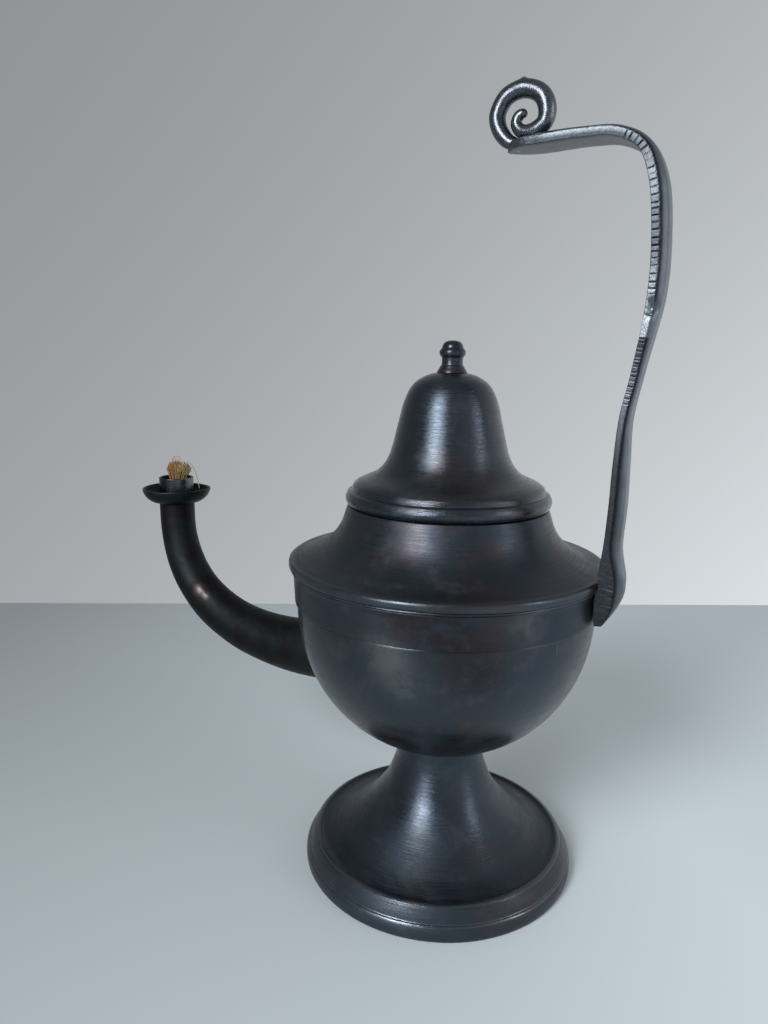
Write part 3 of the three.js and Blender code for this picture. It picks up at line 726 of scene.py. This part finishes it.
def bent_rim(angle, radius):
    """How far the dish's edge is bent outwards and up."""
    share = max(0.0, (radius - PAN_FLAT) / (PAN_RADIUS - PAN_FLAT))
    return 0.14 * share * math.sin(3 * angle + 0.6), 0.22 * share * math.sin(2 * angle + 2.1)


def tube_line():
    """The wick tube, heights above its own lower end."""
    top = TUBE_TOP - low("wick_tube", 2)
    peg, bore = 6.2, 5.3
    inside = TUBE_RADIUS - 1.1
    seat = 6.0
    return outline(
        [(bore, 0), (peg, 0)],
        [(peg, seat)],
        [(TUBE_RADIUS, seat)],
        [(TUBE_RADIUS - 0.1, top - 3), (TUBE_RADIUS - 0.05, top - 0.2)],
        [(TUBE_RADIUS - 0.5, top), (inside, top - 0.15)],
        [(inside, seat + 1.5)],
        [(bore, seat + 1.5)],
        step=0.6,
    )


# Spout

SPOUT_ROOT = Vector((-BOWL_RADIUS, 0, BOWL_EDGE - 33.4))
SPOUT_TIP = Vector((TIP_X, 0, PAN_FLOOR - SEAM))
SPOUT_RADII = [13.8, 11.9, 9.9, 8.6, 8.0, 7.9]
SPOUT_WALL = 1.4
SPOUT_STEP = 1.0
SPOUT_STEPS = 105  # along the curved part
SPOUT_SIDES = 72
SPOUT_GAP = 0.03  # between the spout's end and the bowl's wall
SPOUT_EVENED = 6  # rings over which the spout's cut end evens out
HOLE_SIDES = 48
HOLE_START = -20.0
HOLE_RINGS = 70


def spout_line():
    """The spout's centre line, from inside the bowl up to the tip."""
    run, rise = SPOUT_ROOT.x - SPOUT_TIP.x, SPOUT_TIP.z - SPOUT_ROOT.z
    start = SPOUT_ROOT
    end = SPOUT_TIP - up(5)
    first = start + Vector((-0.573 * run, 0, -0.1 * rise))
    second = Vector((SPOUT_TIP.x, 0, SPOUT_TIP.z - 0.795 * rise))
    inward = start + Vector((0.4 * BOWL_RADIUS, 0, 1.6))
    line = spline([inward, start], SPOUT_STEP)[:-1]
    for i in range(SPOUT_STEPS):
        t = i / SPOUT_STEPS
        line.append(
            start * (1 - t) ** 3 + first * 3 * t * (1 - t) ** 2
            + second * 3 * t * t * (1 - t) + end * t ** 3
        )
    return line + spline([end, SPOUT_TIP], SPOUT_STEP)


def spout_rings(inset, sides):
    """Rings of the tapering spout, inset from its outside. Only the outside is uneven."""
    line = spout_line()
    lengths = [0.0]
    for a, b in zip(line, line[1:]):
        lengths.append(lengths[-1] + (b - a).length)
    radii = spline(list(enumerate(SPOUT_RADII)), 0.02)
    rings = []
    for i, centre in enumerate(line):
        ahead = direction(line, i)
        if i == len(line) - 1:
            ahead = up(1)
        share = lengths[i] / lengths[-1]
        radius = radii[min(len(radii) - 1, round(share * (len(radii) - 1)))][1] - inset
        ring = []
        for s in range(sides):
            angle = 2 * math.pi * s / sides
            uneven = 0 if inset else waver(centre + Vector((0, 20 * math.sin(angle), 0)), 14, 0.12)
            reach = (radius + uneven) * math.cos(angle)
            ring.append(Vector((
                centre.x + ahead.z * reach, (radius + uneven) * math.sin(angle), centre.z - ahead.x * reach,
            )))
        rings.append(ring)
    return rings


def bowl_distance(point):
    """How far a point is outside the bowl's wall and the gap. Negative is inside."""
    radius = math.hypot(point.x, point.y)
    height = (BOWL_EDGE - point.z) / (BOWL_EDGE - BOWL_BOTTOM)
    across = max(0.0, 1 - max(0.0, height) ** BOWL_FULLNESS) ** (1 / BOWL_FULLNESS)
    return radius - BOWL_RADIUS * across - SPOUT_GAP


def cut_at_bowl(rings):
    """Each lengthwise line of the rings starts anew where it leaves the bowl's wall."""
    sides = len(rings[0])
    starts = []
    for s in range(sides):
        first = next(i for i, ring in enumerate(rings) if bowl_distance(ring[s]) > 0)
        inner, outer = rings[first - 1][s], rings[first][s]
        for _ in range(30):
            middle = (inner + outer) / 2
            if bowl_distance(middle) > 0:
                outer = middle
            else:
                inner = middle
        starts.append((first, outer))
    reach = max(first for first, _ in starts) + SPOUT_EVENED
    kept = []
    for k in range(reach + 1):
        ring = []
        for s in range(sides):
            first, start = starts[s]
            place = k / reach * (reach - first + 1)
            index = first - 1 + place
            whole = int(index)
            a = start if whole < first else rings[whole][s]
            b = rings[min(whole + 1, reach)][s]
            ring.append(a.lerp(b, index - whole))
        kept.append(ring)
    return kept + rings[reach + 1:]


def make_spout(material):
    outside = cut_at_bowl(spout_rings(0, SPOUT_SIDES))
    bore = cut_at_bowl(spout_rings(SPOUT_WALL, SPOUT_SIDES))
    spout = skin("spout_tube", outside + list(reversed(bore)), looped=True)
    sharpen(spout, 50)
    finish_piece(spout, "lamp_body", "spout_pewter", material, "spout")


def make_bowl(material):
    """The bowl, with the hole that opens into the spout."""
    bowl = turned("bowl_casting", bowl_line(), AXIS)
    rings = [ring for ring in spout_rings(SPOUT_WALL, HOLE_SIDES) if ring[0].x < HOLE_START]
    combine(bowl, skin("hole", rings[:HOLE_RINGS]), "DIFFERENCE")
    sharpen(bowl)
    finish_piece(bowl, "lamp_body", "dark_pewter", material, "bowl")


# Handle

STRAP_HALF = 7.3
STRAP_EDGE = 2.8
STRAP_CROWN = 2.3
STRAP_STEP = 0.15
PAD_EDGE = 6.2
HANDLE_RISE = 159.6
HANDLE_BULGE = 10.1
ARM_TIP = 18.3
SCROLL_RADIUS = 8.3
ROD_RADIUS = 2.95
ARM_HEIGHT = HANDLE_END + HANDLE_RISE
PAD_REACH = LIP_RADIUS - LIP_OVERHANG + SEAM
HANDLE_REACH = PAD_REACH - SEAM + HANDLE_BULGE
NICK_HEIGHT = 218.5
NICK_SIZE = 2.2
PATCH_TOP = 216.0  # of the bare metal
PATCH_BOTTOM = 209.5
LANDS_END = 188.0  # where the cuts end


def hump(place, middle, width):
    """1 at the middle, and fading away over the width."""
    return math.exp(-((place - middle) / width) ** 2)


def share_of(value):
    """The value kept between 0 and 1."""
    return max(0.0, min(1.0, value))


def strap_stations():
    """Along the inner face from tip to pad: x, z, and shares of full width, edge and crown."""
    def arm(share, sag, *sizes):
        return (ARM_TIP + (HANDLE_REACH - ARM_TIP) * share, ARM_HEIGHT - sag, *sizes)

    def upright(share, bulge, *sizes):
        return (PAD_REACH + (HANDLE_REACH - PAD_REACH) * bulge, HANDLE_END + HANDLE_RISE * share, *sizes)

    pad = PAD_EDGE / STRAP_EDGE
    return [
        arm(0, 0.6, 0.12, 0.8, 0.1),
        arm(0.07, 0.3, 0.68, 1, 0.35),
        arm(0.23, 0.2, 0.96, 1, 0.6),
        arm(0.53, -0.2, 0.92, 1, 0.55),
        arm(0.73, 0.6, 0.93, 1, 0.5),
        upright(0.97, 0.35, 0.97, 1, 0.6),
        upright(0.91, 0.76, 1, 1, 0.85),
        upright(0.8, 0.97, 1, 0.96, 0.85),
        upright(0.7, 0.98, 0.96, 0.9, 0.8),
        upright(0.56, 0.68, 0.77, 0.76, 0.45),
        upright(0.455, 0.38, 0.76, 0.75, 0.5),
        upright(0.36, 0.28, 0.82, 0.75, 0.95),
        upright(0.26, 0.25, 0.83, 0.75, 1.2),
        upright(0.175, 0.17, 0.83, 0.88, 1.2),
        upright(0.115, 0.07, 0.83, 0.88 * pad, 1.1),
        upright(0.065, 0, 0.83, pad, 0.85),
        upright(0.022, 0, 0.78, 0.76 * pad, 0.3),
        upright(0, 0.03, 0.7, 0.42 * pad, 0.1),
    ]


def strap_section(half, edge, crown):
    """The section as (across, out, part): flat inside, upright edges, a scored line, a rounded back."""
    bevel = min(0.3, 0.2 * half)
    score = min(1.2, 0.25 * half)
    parts = {
        "inside": [(0.5 * half, 0), (half - bevel, 0), (half - 0.3 * bevel, 0.3 * bevel)],
        "edge": [(half, bevel), (half, 0.35 * edge), (half, 0.7 * edge), (half, edge - 0.25)],
        "score": [(half - 0.15, edge - 0.05), (half - 0.4 * score, edge - 0.4),
                  (half - 0.75 * score, edge - 0.3), (half - score, edge + 0.1 * crown)],
        "slope": [(0.74 * half, edge + 0.4 * crown)],
        "back": [(0.6 * half, edge + 0.76 * crown), (0.52 * half, edge + 0.93 * crown),
                 (0.42 * half, edge + 0.985 * crown), (0.2 * half, edge + crown)],
    }
    right = [(across, out, part) for part, points in parts.items() for across, out in points]
    left = [(-across, out, part) for across, out, part in reversed(right)]
    return [(0, 0, "inside"), *right, (0, edge + crown, "back"), *left]


def filed_lands(start, middle, end):
    """The cuts across the edges: place, width, depth and the brightness of the land after each."""
    cuts = []
    place = start
    while place < end:
        cuts.append((place, random.uniform(0.11, 0.2), random.uniform(0.12, 0.36), random.uniform(0.5, 1)))
        place += random.uniform(1.5, 2.5) if place < middle else random.uniform(0.9, 1.8)
    return cuts


def edge_tones(place, bend, nick, patch):
    """How bright and how dark a filed edge is on the arm, the upright, the patch and below it."""
    if patch[0] < place < patch[1]:
        return 1.5, 0.0
    if place < bend:
        # On the arm the edge is kept brighter and less dark than on the upright: filed wear, and also a
        # painted highlight along the arm's edge.
        at_bend = hump(place, bend, 10)
        return 0.42 - 0.29 * at_bend, 0.66 + 0.18 * at_bend
    if place < patch[0]:
        past_bend = hump(place, bend + 7, 6)
        near_nick = share_of((20 - nick + place) / 14)
        bright = 0.1 + 0.1 * past_bend + 0.6 * near_nick ** 2
        return bright, 0.92 - 0.3 * past_bend - 0.35 * near_nick
    below = hump(place, patch[1] + 20, 12)
    return 0.1 * below, 0.9 - 0.08 * min(1.0, (place - patch[1]) / 20) - 0.34 * below


def make_strap():
    """The strap with its filed edges, and how bright and how dark each of its points is."""
    stations = spline(strap_stations(), STRAP_STEP)
    places = [0.0]
    for a, b in zip(stations, stations[1:]):
        places.append(places[-1] + math.dist(a[:2], b[:2]))

    def place_at(height):
        return next(p for p, s in zip(places, stations) if s[0] > 0.9 * HANDLE_REACH and s[1] < height)

    nick, bend = place_at(NICK_HEIGHT), place_at(ARM_HEIGHT - 8)
    patch = place_at(PATCH_TOP), place_at(PATCH_BOTTOM)
    cuts = filed_lands(place_at(ARM_HEIGHT - 4) - 5, patch[1], place_at(LANDS_END))
    cuts = [cut for cut in cuts if not patch[0] + 0.8 < cut[0] < patch[1] - 0.5]
    rings, marks = [], []
    for i, (x, z, wide, edge, crown) in enumerate(stations):
        before, after = stations[max(i - 1, 0)], stations[min(i + 1, len(stations) - 1)]
        along = Vector((after[0] - before[0], after[1] - before[1])).normalized()
        place = places[i]
        bare = patch[0] < place < patch[1]
        bright, shade = edge_tones(place, bend, nick, patch)
        at_nick = hump(place, nick, NICK_SIZE)
        depth = sum(deep * hump(place, at, width) for at, width, deep, _ in cuts)
        if place >= patch[0] and not bare:
            depth *= 0.7
        depth *= 1 - 0.35 * hump(place, bend, 10)
        depth *= 1 - at_nick
        land = 1.0 if bare else next((tone for at, _, _, tone in reversed(cuts) if at < place), 0.8)
        cutting = min(1.0, 3 * depth)
        on_arm = share_of((bend - place) / 10)
        on_pad = share_of((HANDLE_END + 26 - z) / 14)
        half, thick = wide * STRAP_HALF, edge * STRAP_EDGE
        ring = []
        for across, out, part in strap_section(half, thick, crown * STRAP_CROWN):
            lit = gone = 0.0
            if part == "edge":
                across -= math.copysign(min(depth + 0.08 * land, 0.3 * abs(across)), across)
                # On the arm the lower part of each edge is painted darker and its top kept bright: painted
                # shade and a painted highlight in place of a rounded edge's shading.
                top = share_of((out / thick - 0.35) / 0.5)
                under = on_arm * (1 - top) * min(1.0, place / 15)
                lit = bright * land * (1 - cutting) * (1 - under)
                gone = max(shade + (1 - shade) * under, cutting)
                if out < 0.6 * thick:
                    lit, gone = max(lit, 0.8 * at_nick), gone * (1 - at_nick)
            elif part == "inside":
                # Painted shade: the underside is darker, and its bevel black as a painted shade line along
                # the edge.
                gone = 1.0 if out else 0.35
            elif part == "score":
                gone = 0.25 if bare else 1.0
            elif part == "slope":
                gone = 0.1 if bare else 0.5
            outer = (abs(across) / half - 0.3) / 0.7
            if across < 0 < outer and out > 0.6 * thick:
                across += 1.6 * at_nick * outer
                lit, gone = lit * (1 - at_nick), gone * (1 - 0.7 * at_nick)
            rough = waver((x + 3 * out, 3 * across, z), 2.5, 0.04) + waver((x, across, z), 11, 0.12)
            if part == "edge":
                across -= math.copysign(on_pad * (0.1 + waver((x + 2 * out, across, z), 1.2, 0.25)), across)
                gone = max(gone, 0.8 * on_pad)
            ring.append(Vector((x - along.y * (out + rough), across, z + along.x * (out + rough))))
            marks.append((lit, gone))
        rings.append(ring)
    strap = skin("handle_strap", rings)
    worn, dark = zip(*marks)
    set_values(strap, worn=worn, dark=dark, gloss=[0.0] * len(marks))
    return strap


VOLUTE = [
    (-0.08, -1.22), (-0.57, -1.0), (-0.95, -0.52), (-1.05, 0.04), (-0.72, 0.63), (0.04, 0.88),
    (0.73, 0.6), (1.02, 0.04), (0.95, -0.46), (0.45, -0.75), (0, -0.7), (-0.24, -0.42),
    (-0.16, -0.14), (0.03, -0.07), (0.14, -0.2),
]
ROD_SHARES = [0.62, 0.88, 0.95, 0.98, 1, 1.02, 1.03, 0.97, 0.84, 0.67, 0.55]
ROD_SIDES = 22
ROD_END = 6  # points over which the rod's end is rounded
BURR = 0.7  # height of the burr on top of the scroll


def scroll_line():
    """The scroll's centre line, with the rod's radius at each point and a rounded end."""
    centre = Vector((ARM_TIP + 0.5 * SCROLL_RADIUS, 0, ARM_HEIGHT + 1.42 * SCROLL_RADIUS))
    line = [centre + SCROLL_RADIUS * Vector((x, 0, z)) for x, z in spline(VOLUTE, 0.035)]
    shares = spline(list(enumerate(ROD_SHARES)), 0.01)
    radii = []
    last = len(line) - 1
    for i in range(last + 1):
        radius = ROD_RADIUS * shares[round(i / last * (len(shares) - 1))][1]
        past = max(0, i - (last - ROD_END)) / ROD_END
        radii.append(radius * math.sqrt(max(0.02, 1 - past ** 2)))
    return centre, line, radii


def make_scroll():
    centre, line, radii = scroll_line()
    rings = tube_rings(line, lambda t: radii[round(t * (len(radii) - 1))], ROD_SIDES)
    burr = Vector((centre.x - 0.05, 0, centre.z + 1.22 * SCROLL_RADIUS))
    return skin("scroll", roughen(
        rings, lambda point: waver(point, 5, 0.12) + BURR * hump((point - burr).length, 0, 1.0),
    ))


def tone_and_shade_scroll(handle):
    """The boolean keeps the strap's values only, so the scroll's are written afterwards."""
    centre, line, radii = scroll_line()
    tree = kdtree.KDTree(len(line))
    for i, point in enumerate(line):
        tree.insert(point, i)
    tree.balance()
    layers = handle.data.attributes
    for v in handle.data.vertices:
        nearest, i, distance = tree.find(v.co / MM)
        past = distance - radii[i]
        if abs(past) < 0.3 or (past < 0.3 and i > len(line) - 2 - ROD_END):
            # Painted shade: the rod is darker on its inner side, which faces the scroll's middle, but
            # evenly toned along the inner curl.
            outward = (v.co / MM - nearest).normalized().dot((nearest - centre).normalized())
            if i > 0.68 * len(line):
                outward = 0.5
            for name, value in (("worn", 0.15), ("dark", 0.58 - 0.24 * outward), ("gloss", 0.75)):
                layers[name].data[v.index].value = value


def make_handle(material):
    handle = combine(make_strap(), make_scroll(), "UNION")
    handle.name = "handle_strap"
    tone_and_shade_scroll(handle)
    sharpen(handle, 48)
    finish_piece(handle, "lamp_body", "handle_pewter", material, "handle")


# Wick

CORD_RADIUS = 3.6
CORD_STEP = 0.7
CORD_LAY = 13.0  # one turn of the twist
PLIES = 3
PLY_OFFSET = 0.46 * CORD_RADIUS
PLY_SIDES = 10
STRAND_COUNT = 240
FIBRE_STEP = 0.55
TUFT_BASE = Vector((TIP_X, 0, TUBE_TOP))


def wick_route():
    """The cord's centre line: along the bowl's floor, up the spout and into the wick tube."""
    line = spout_line()

    def along(share):
        return line[round(share * (len(line) - 1))]

    lying = [Vector((-5.7, 0, 57.6)), Vector((-21.7, 0, 62.3))]
    sag = [along(share) + up((share - 0.42) * 14) for share in (0.05, 0.17, 0.34)]
    centred = [along(share) for share in (0.52, 0.64, 0.76, 0.88, 0.97)]
    end = SPOUT_TIP + up(0.7)
    return spline([*lying, *sag, *centred, end], CORD_STEP, knot_axes=3)


def make_cord(material):
    route = wick_route()
    side = Vector((0, 1, 0))
    strands, tints = [], []
    for ply in range(PLIES):
        line = []
        for i, centre in enumerate(route):
            other = direction(route, i).cross(side)
            angle = 2 * math.pi * (ply / PLIES + i * CORD_STEP / CORD_LAY)
            across, aside = PLY_OFFSET * math.cos(angle), PLY_OFFSET * math.sin(angle)
            line.append(centre + side * across + other * aside)
        rings = tube_rings(line, lambda t: 0.5 * CORD_RADIUS, PLY_SIDES)
        strands.append(skin("ply", roughen(rings, lambda point: waver(point, 1.1, 0.16))))
        tints += [0.3 + 0.2 * ply] * len(strands[-1].data.vertices)
    cord = join(strands[0], strands[1:])
    cord.name = "wick_yarn"
    set_values(cord, tint=tints)
    finish_piece(cord, "lamp_body", "wick", material, "wick_cord")


def fibre(points, radius, sides):
    """A thread that gets thinner towards its end."""
    line = spline(points, FIBRE_STEP, knot_axes=3)
    return skin("fibre", tube_rings(line, lambda t: radius * (1 - 0.45 * t), sides))


def tuft_fibre(lump, spread, height, curl):
    """A fibre that rises out of the tube, bulges into its lump and curls over."""
    turn = random.uniform(0, 2 * math.pi)
    reach = spread * math.sqrt(random.uniform(0.05, 1))
    out = Vector((math.cos(turn), 1.2 * math.sin(turn), 0)) * reach
    top = height * random.uniform(0.72, 1.0) * (1 - 0.25 * (reach / spread) ** 2)
    lean = Vector((math.cos(turn + curl), math.sin(turn + curl), 0))
    shares = [
        (0.6, 0.75, 0, -9), (0.6, 0.75, 0, -1.5), (0.9, 0.9, 0, 0.42 * top), (1, 1, 0.5, 0.86 * top),
        (1, 0.7, 1.2, top), (1, 0.5, 2.1, 0.82 * top), (1, 0.6, 2.5, 0.55 * top),
    ]
    return [TUFT_BASE + a * lump + b * out + c * lean + up(rise) for a, b, c, rise in shares]


def make_tuft(material):
    left, middle, right = Vector((0.2, -0.9, 0)), Vector((2.1, -0.3, 0)), Vector((4.0, 0.3, 0))
    lumps = [(left, 8.4, 0.1), (left, 7.6, 0.2), (middle, 7.9, 0.45), (right, 7.0, 0.9), (left, 8.0, 0.0),
             (right, 7.4, 0.8)]
    loop = [(-1.3, -1, 6), (-0.6, -1, 8.8), (1.2, -0.8, 9.9), (3.2, -0.5, 9.0), (3.9, -0.4, 6.5)]
    hanging = [(3.6, 0.6, 4), (6.6, 0.5, 7.2), (9.6, 0.2, 6.2), (12.2, -0.2, 2.8), (14.0, -0.7, -1),
               (14.9, -1, -4)]
    fibres, tints = [], []
    for i in range(STRAND_COUNT):
        lump, height, shade = lumps[i % len(lumps)]
        points = tuft_fibre(lump, 3.3, height, random.choice((-1.3, 1.3)))
        fibres.append(fibre(points, random.uniform(0.09, 0.19), 5))
        tints += [shade + random.uniform(-0.15, 0.15)] * len(fibres[-1].data.vertices)
    for route, shade in ((loop, 0.75), (hanging, 0.95)):
        fibres.append(fibre([TUFT_BASE + Vector(p) for p in route], 0.27, 6))
        tints += [shade] * len(fibres[-1].data.vertices)
    tuft = join(fibres[0], fibres[1:])
    tuft.name = "wick_fibres"
    set_values(tuft, tint=tints)
    finish_piece(tuft, "wick_end", "wick", material, "wick_tuft")


# Stage and light

SHELF_WHITE = (0.585, 0.635, 0.66)
# Painted light: the shelf's colour grows lighter towards the far right.
SHELF_PAINTED_LIGHT_SLOPE = (0.0017, 0.0013, 0)  # growth of its lightness per millimetre
SHELF_RANGE = (0.6, 1.35)
ROOM_COLOUR = (0.95, 1.0, 1.04, 1)
ROOM_HEADING = 28.8  # degrees anticlockwise from +X to the room's bright side
ROOM_DROP = -0.9  # makes the room darker towards the ceiling
ROOM_CONTRAST = 3.0
ROOM_STRENGTH = 0.26
ROOM_BASE = 0.18


def pale_floor():
    """Pale shelf, painted a little lighter towards the far right, as painted light where more light falls.
    """
    p = Paint("shelf_white")
    here, _ = p.place()
    least, most = SHELF_RANGE
    light = p.math("EXPONENT", p.dot(here, SHELF_PAINTED_LIGHT_SLOPE))
    light = p.math("MAXIMUM", least, p.math("MINIMUM", light, most))
    colour = p.node("VectorMath", {0: SHELF_WHITE}, operation="SCALE")
    p.put(colour.inputs["Scale"], light)
    return p.shade(Base_Color=colour.outputs[0], Roughness=0.6)


def make_stage():
    heading = math.radians(WALL_HEADING)
    side = Vector((math.cos(heading), math.sin(heading), 0))
    away = Vector((-side.y, side.x, 0))
    far = Vector(AXIS) + away * WALL_DISTANCE
    near = far - away * SHELF_DEPTH
    half = side * SHELF_HALF_WIDTH
    corners = [near - half, near + half, far + half, far - half]
    mesh = bpy.data.meshes.new("shelf")
    mesh.from_pydata([tuple(c * MM) for c in corners], [], [(0, 1, 2, 3)])
    mesh.materials.append(pale_floor())
    shelf = add_object("shelf", mesh)


def softbox(name, place, aim, size, power, colour):
    """A lamp that shines from a rectangle, in metres and watts."""
    light = bpy.data.lights.new(name, "AREA")
    light.shape, light.size, light.size_y = "RECTANGLE", *size
    light.energy, light.color = power, colour
    lamp = add_object(name, light)
    lamp.location = place
    lamp.rotation_euler = (Vector(aim) - Vector(place)).to_track_quat("-Z", "Y").to_euler()


def make_room():
    """Soft light from all round, brighter on one side and darker towards the ceiling."""
    p = Paint("room", "worlds")
    bpy.context.scene.world = p.owner
    heading = math.radians(ROOM_HEADING)
    bright_side = (math.cos(heading), math.sin(heading), ROOM_DROP)
    toward = p.dot(p.node("TexCoord").outputs["Generated"], bright_side)
    power = p.math("POWER", ROOM_CONTRAST, toward)
    strength = p.math("MULTIPLY_ADD", power, ROOM_STRENGTH, ROOM_BASE)
    p.shade("Background", Color=ROOM_COLOUR, Strength=strength)


def make_light():
    bpy.context.scene.view_settings.view_transform = "Standard"
    make_room()
    aim = (AXIS_X * MM, 0, 0.15)
    softbox("window", (-0.064, -0.84, 0.54), aim, (0.30, 0.55), 8.8, (0.93, 0.97, 1))
    softbox("fill", (0.95, 0.0, 0.45), aim, (0.14, 0.5), 1.1, (0.92, 0.96, 1))


# The lamp

# Marks on the metal, in millimetres round a piece's origin: spots with their reach, and lines
HAZY = [((46, -36, 118), 11), ((37, -37, 121), 8), ((5, -57, 105), 14), ((11, -54, 97), 12)]
STAINED = [((24, -53, 117), 21), ((12, -57, 118), 13), ((33, -46, 104), 18)]
SCRATCHED = [((55.1, -15.3, 108.2), (58.5, -3.7, 110)), ((52, -23.8, 108.6), (52.1, -23.2, 104.9))]
# Spots where the spout is smoother and a warm highlight is painted
SPOUT_RUBBED_HIGHLIGHTS = [((-119.8, -6.7, 95), 4.5), ((-116.5, -6.8, 92.8), 3.2)]


def make_lid():
    """The lid, its collar and its knob, which lift off together."""
    metal = turned_pewter("dark_pewter_lid", lines=0.7, rough=0.31, coat=0.32, warm=0.46)
    knob_metal = turned_pewter("dark_pewter_turned", lines=0.4, rough=0.33, coat=0.3)
    lid = turned("lid_casting", lid_line(), (AXIS_X, 0, LID_BOTTOM))
    finish_piece(lid, "lid_body", "dark_pewter", metal, "lid")
    collar = turned("lid_collar", collar_line(), (AXIS_X, 0, low("lid_ring", 2)), uneven=0)
    finish_piece(collar, "lid_body", "dark_pewter", metal, "lid_ring")
    knob = turned("finial_knob", finial_line(), (AXIS_X, 0, LID_TOP), 64, 0.03)
    finish_piece(knob, "lid_body", "dark_pewter", knob_metal, "finial")


def make_pan():
    tip = (AXIS_X + TIP_X, 0, PAN_FLOOR)
    pan = turned("pan_dish", pan_line(), tip, 96, 0.1, bent_rim)
    finish_piece(pan, "lamp_body", "spout_pewter", drawn_pewter("spout_pewter_pan", 0.46), "drip_pan")


def make_wick_tube(material):
    """The wick tube, darker towards its left side and with silver flecks towards its right."""
    tube = turned("tube_collar", tube_line(), (AXIS_X + TIP_X, 0, low("wick_tube", 2)), 72, 0.1)
    right_side = [max(0.0, v.co.x / MM / TUBE_RADIUS) for v in tube.data.vertices]
    worn = [0.25 * share ** 4 for share in right_side]
    dark = [0.95 - 0.6 * share for share in right_side]
    set_values(tube, worn=worn, dark=dark, gloss=[0.5] * len(right_side))
    finish_piece(tube, "lamp_body", "handle_pewter", material, "wick_tube")


def build():
    make_camera()
    foot_metal = turned_pewter(
        "dark_pewter_foot", lines=0.5, rough=0.34, coat=0.25, warm=0.54,
        polished_highlight_rings=[(11.3, 12.4), (5.6, 6.4)], polish_and_sheen=0.28, beyond=48.6, matt_flare=True,
    )
    bowl_metal = turned_pewter(
        "dark_pewter_bowl", lines=0.28, rough=0.34, coat=0.25, warm=0.46,
        hazy=HAZY, burnt=STAINED, scratches=SCRATCHED,
    )
    shoulder_metal = turned_pewter(
        "dark_pewter_shoulder", lines=0.27, rough=0.45, coat=0.08, warm=0.42,
        hazy=HAZY, burnt=STAINED, polished_highlight_rings=[(122.4, 127)],
    )
    cast = cast_pewter("handle_pewter_cast")
    flax = yarn("wick_flax")
    foot = turned("foot_casting", foot_line(), AXIS)
    finish_piece(foot, "lamp_body", "dark_pewter", foot_metal, "foot")
    make_bowl(bowl_metal)
    shoulder = turned("shoulder_casting", shoulder_line(), AXIS)
    finish_piece(shoulder, "lamp_body", "dark_pewter", shoulder_metal, "shoulder")
    make_lid()
    make_spout(drawn_pewter("spout_pewter_smooth", 0.54, SPOUT_RUBBED_HIGHLIGHTS))
    make_pan()
    make_wick_tube(cast)
    make_handle(cast)
    make_cord(flax)
    make_tuft(flax)
    make_stage()
    make_light()


build()
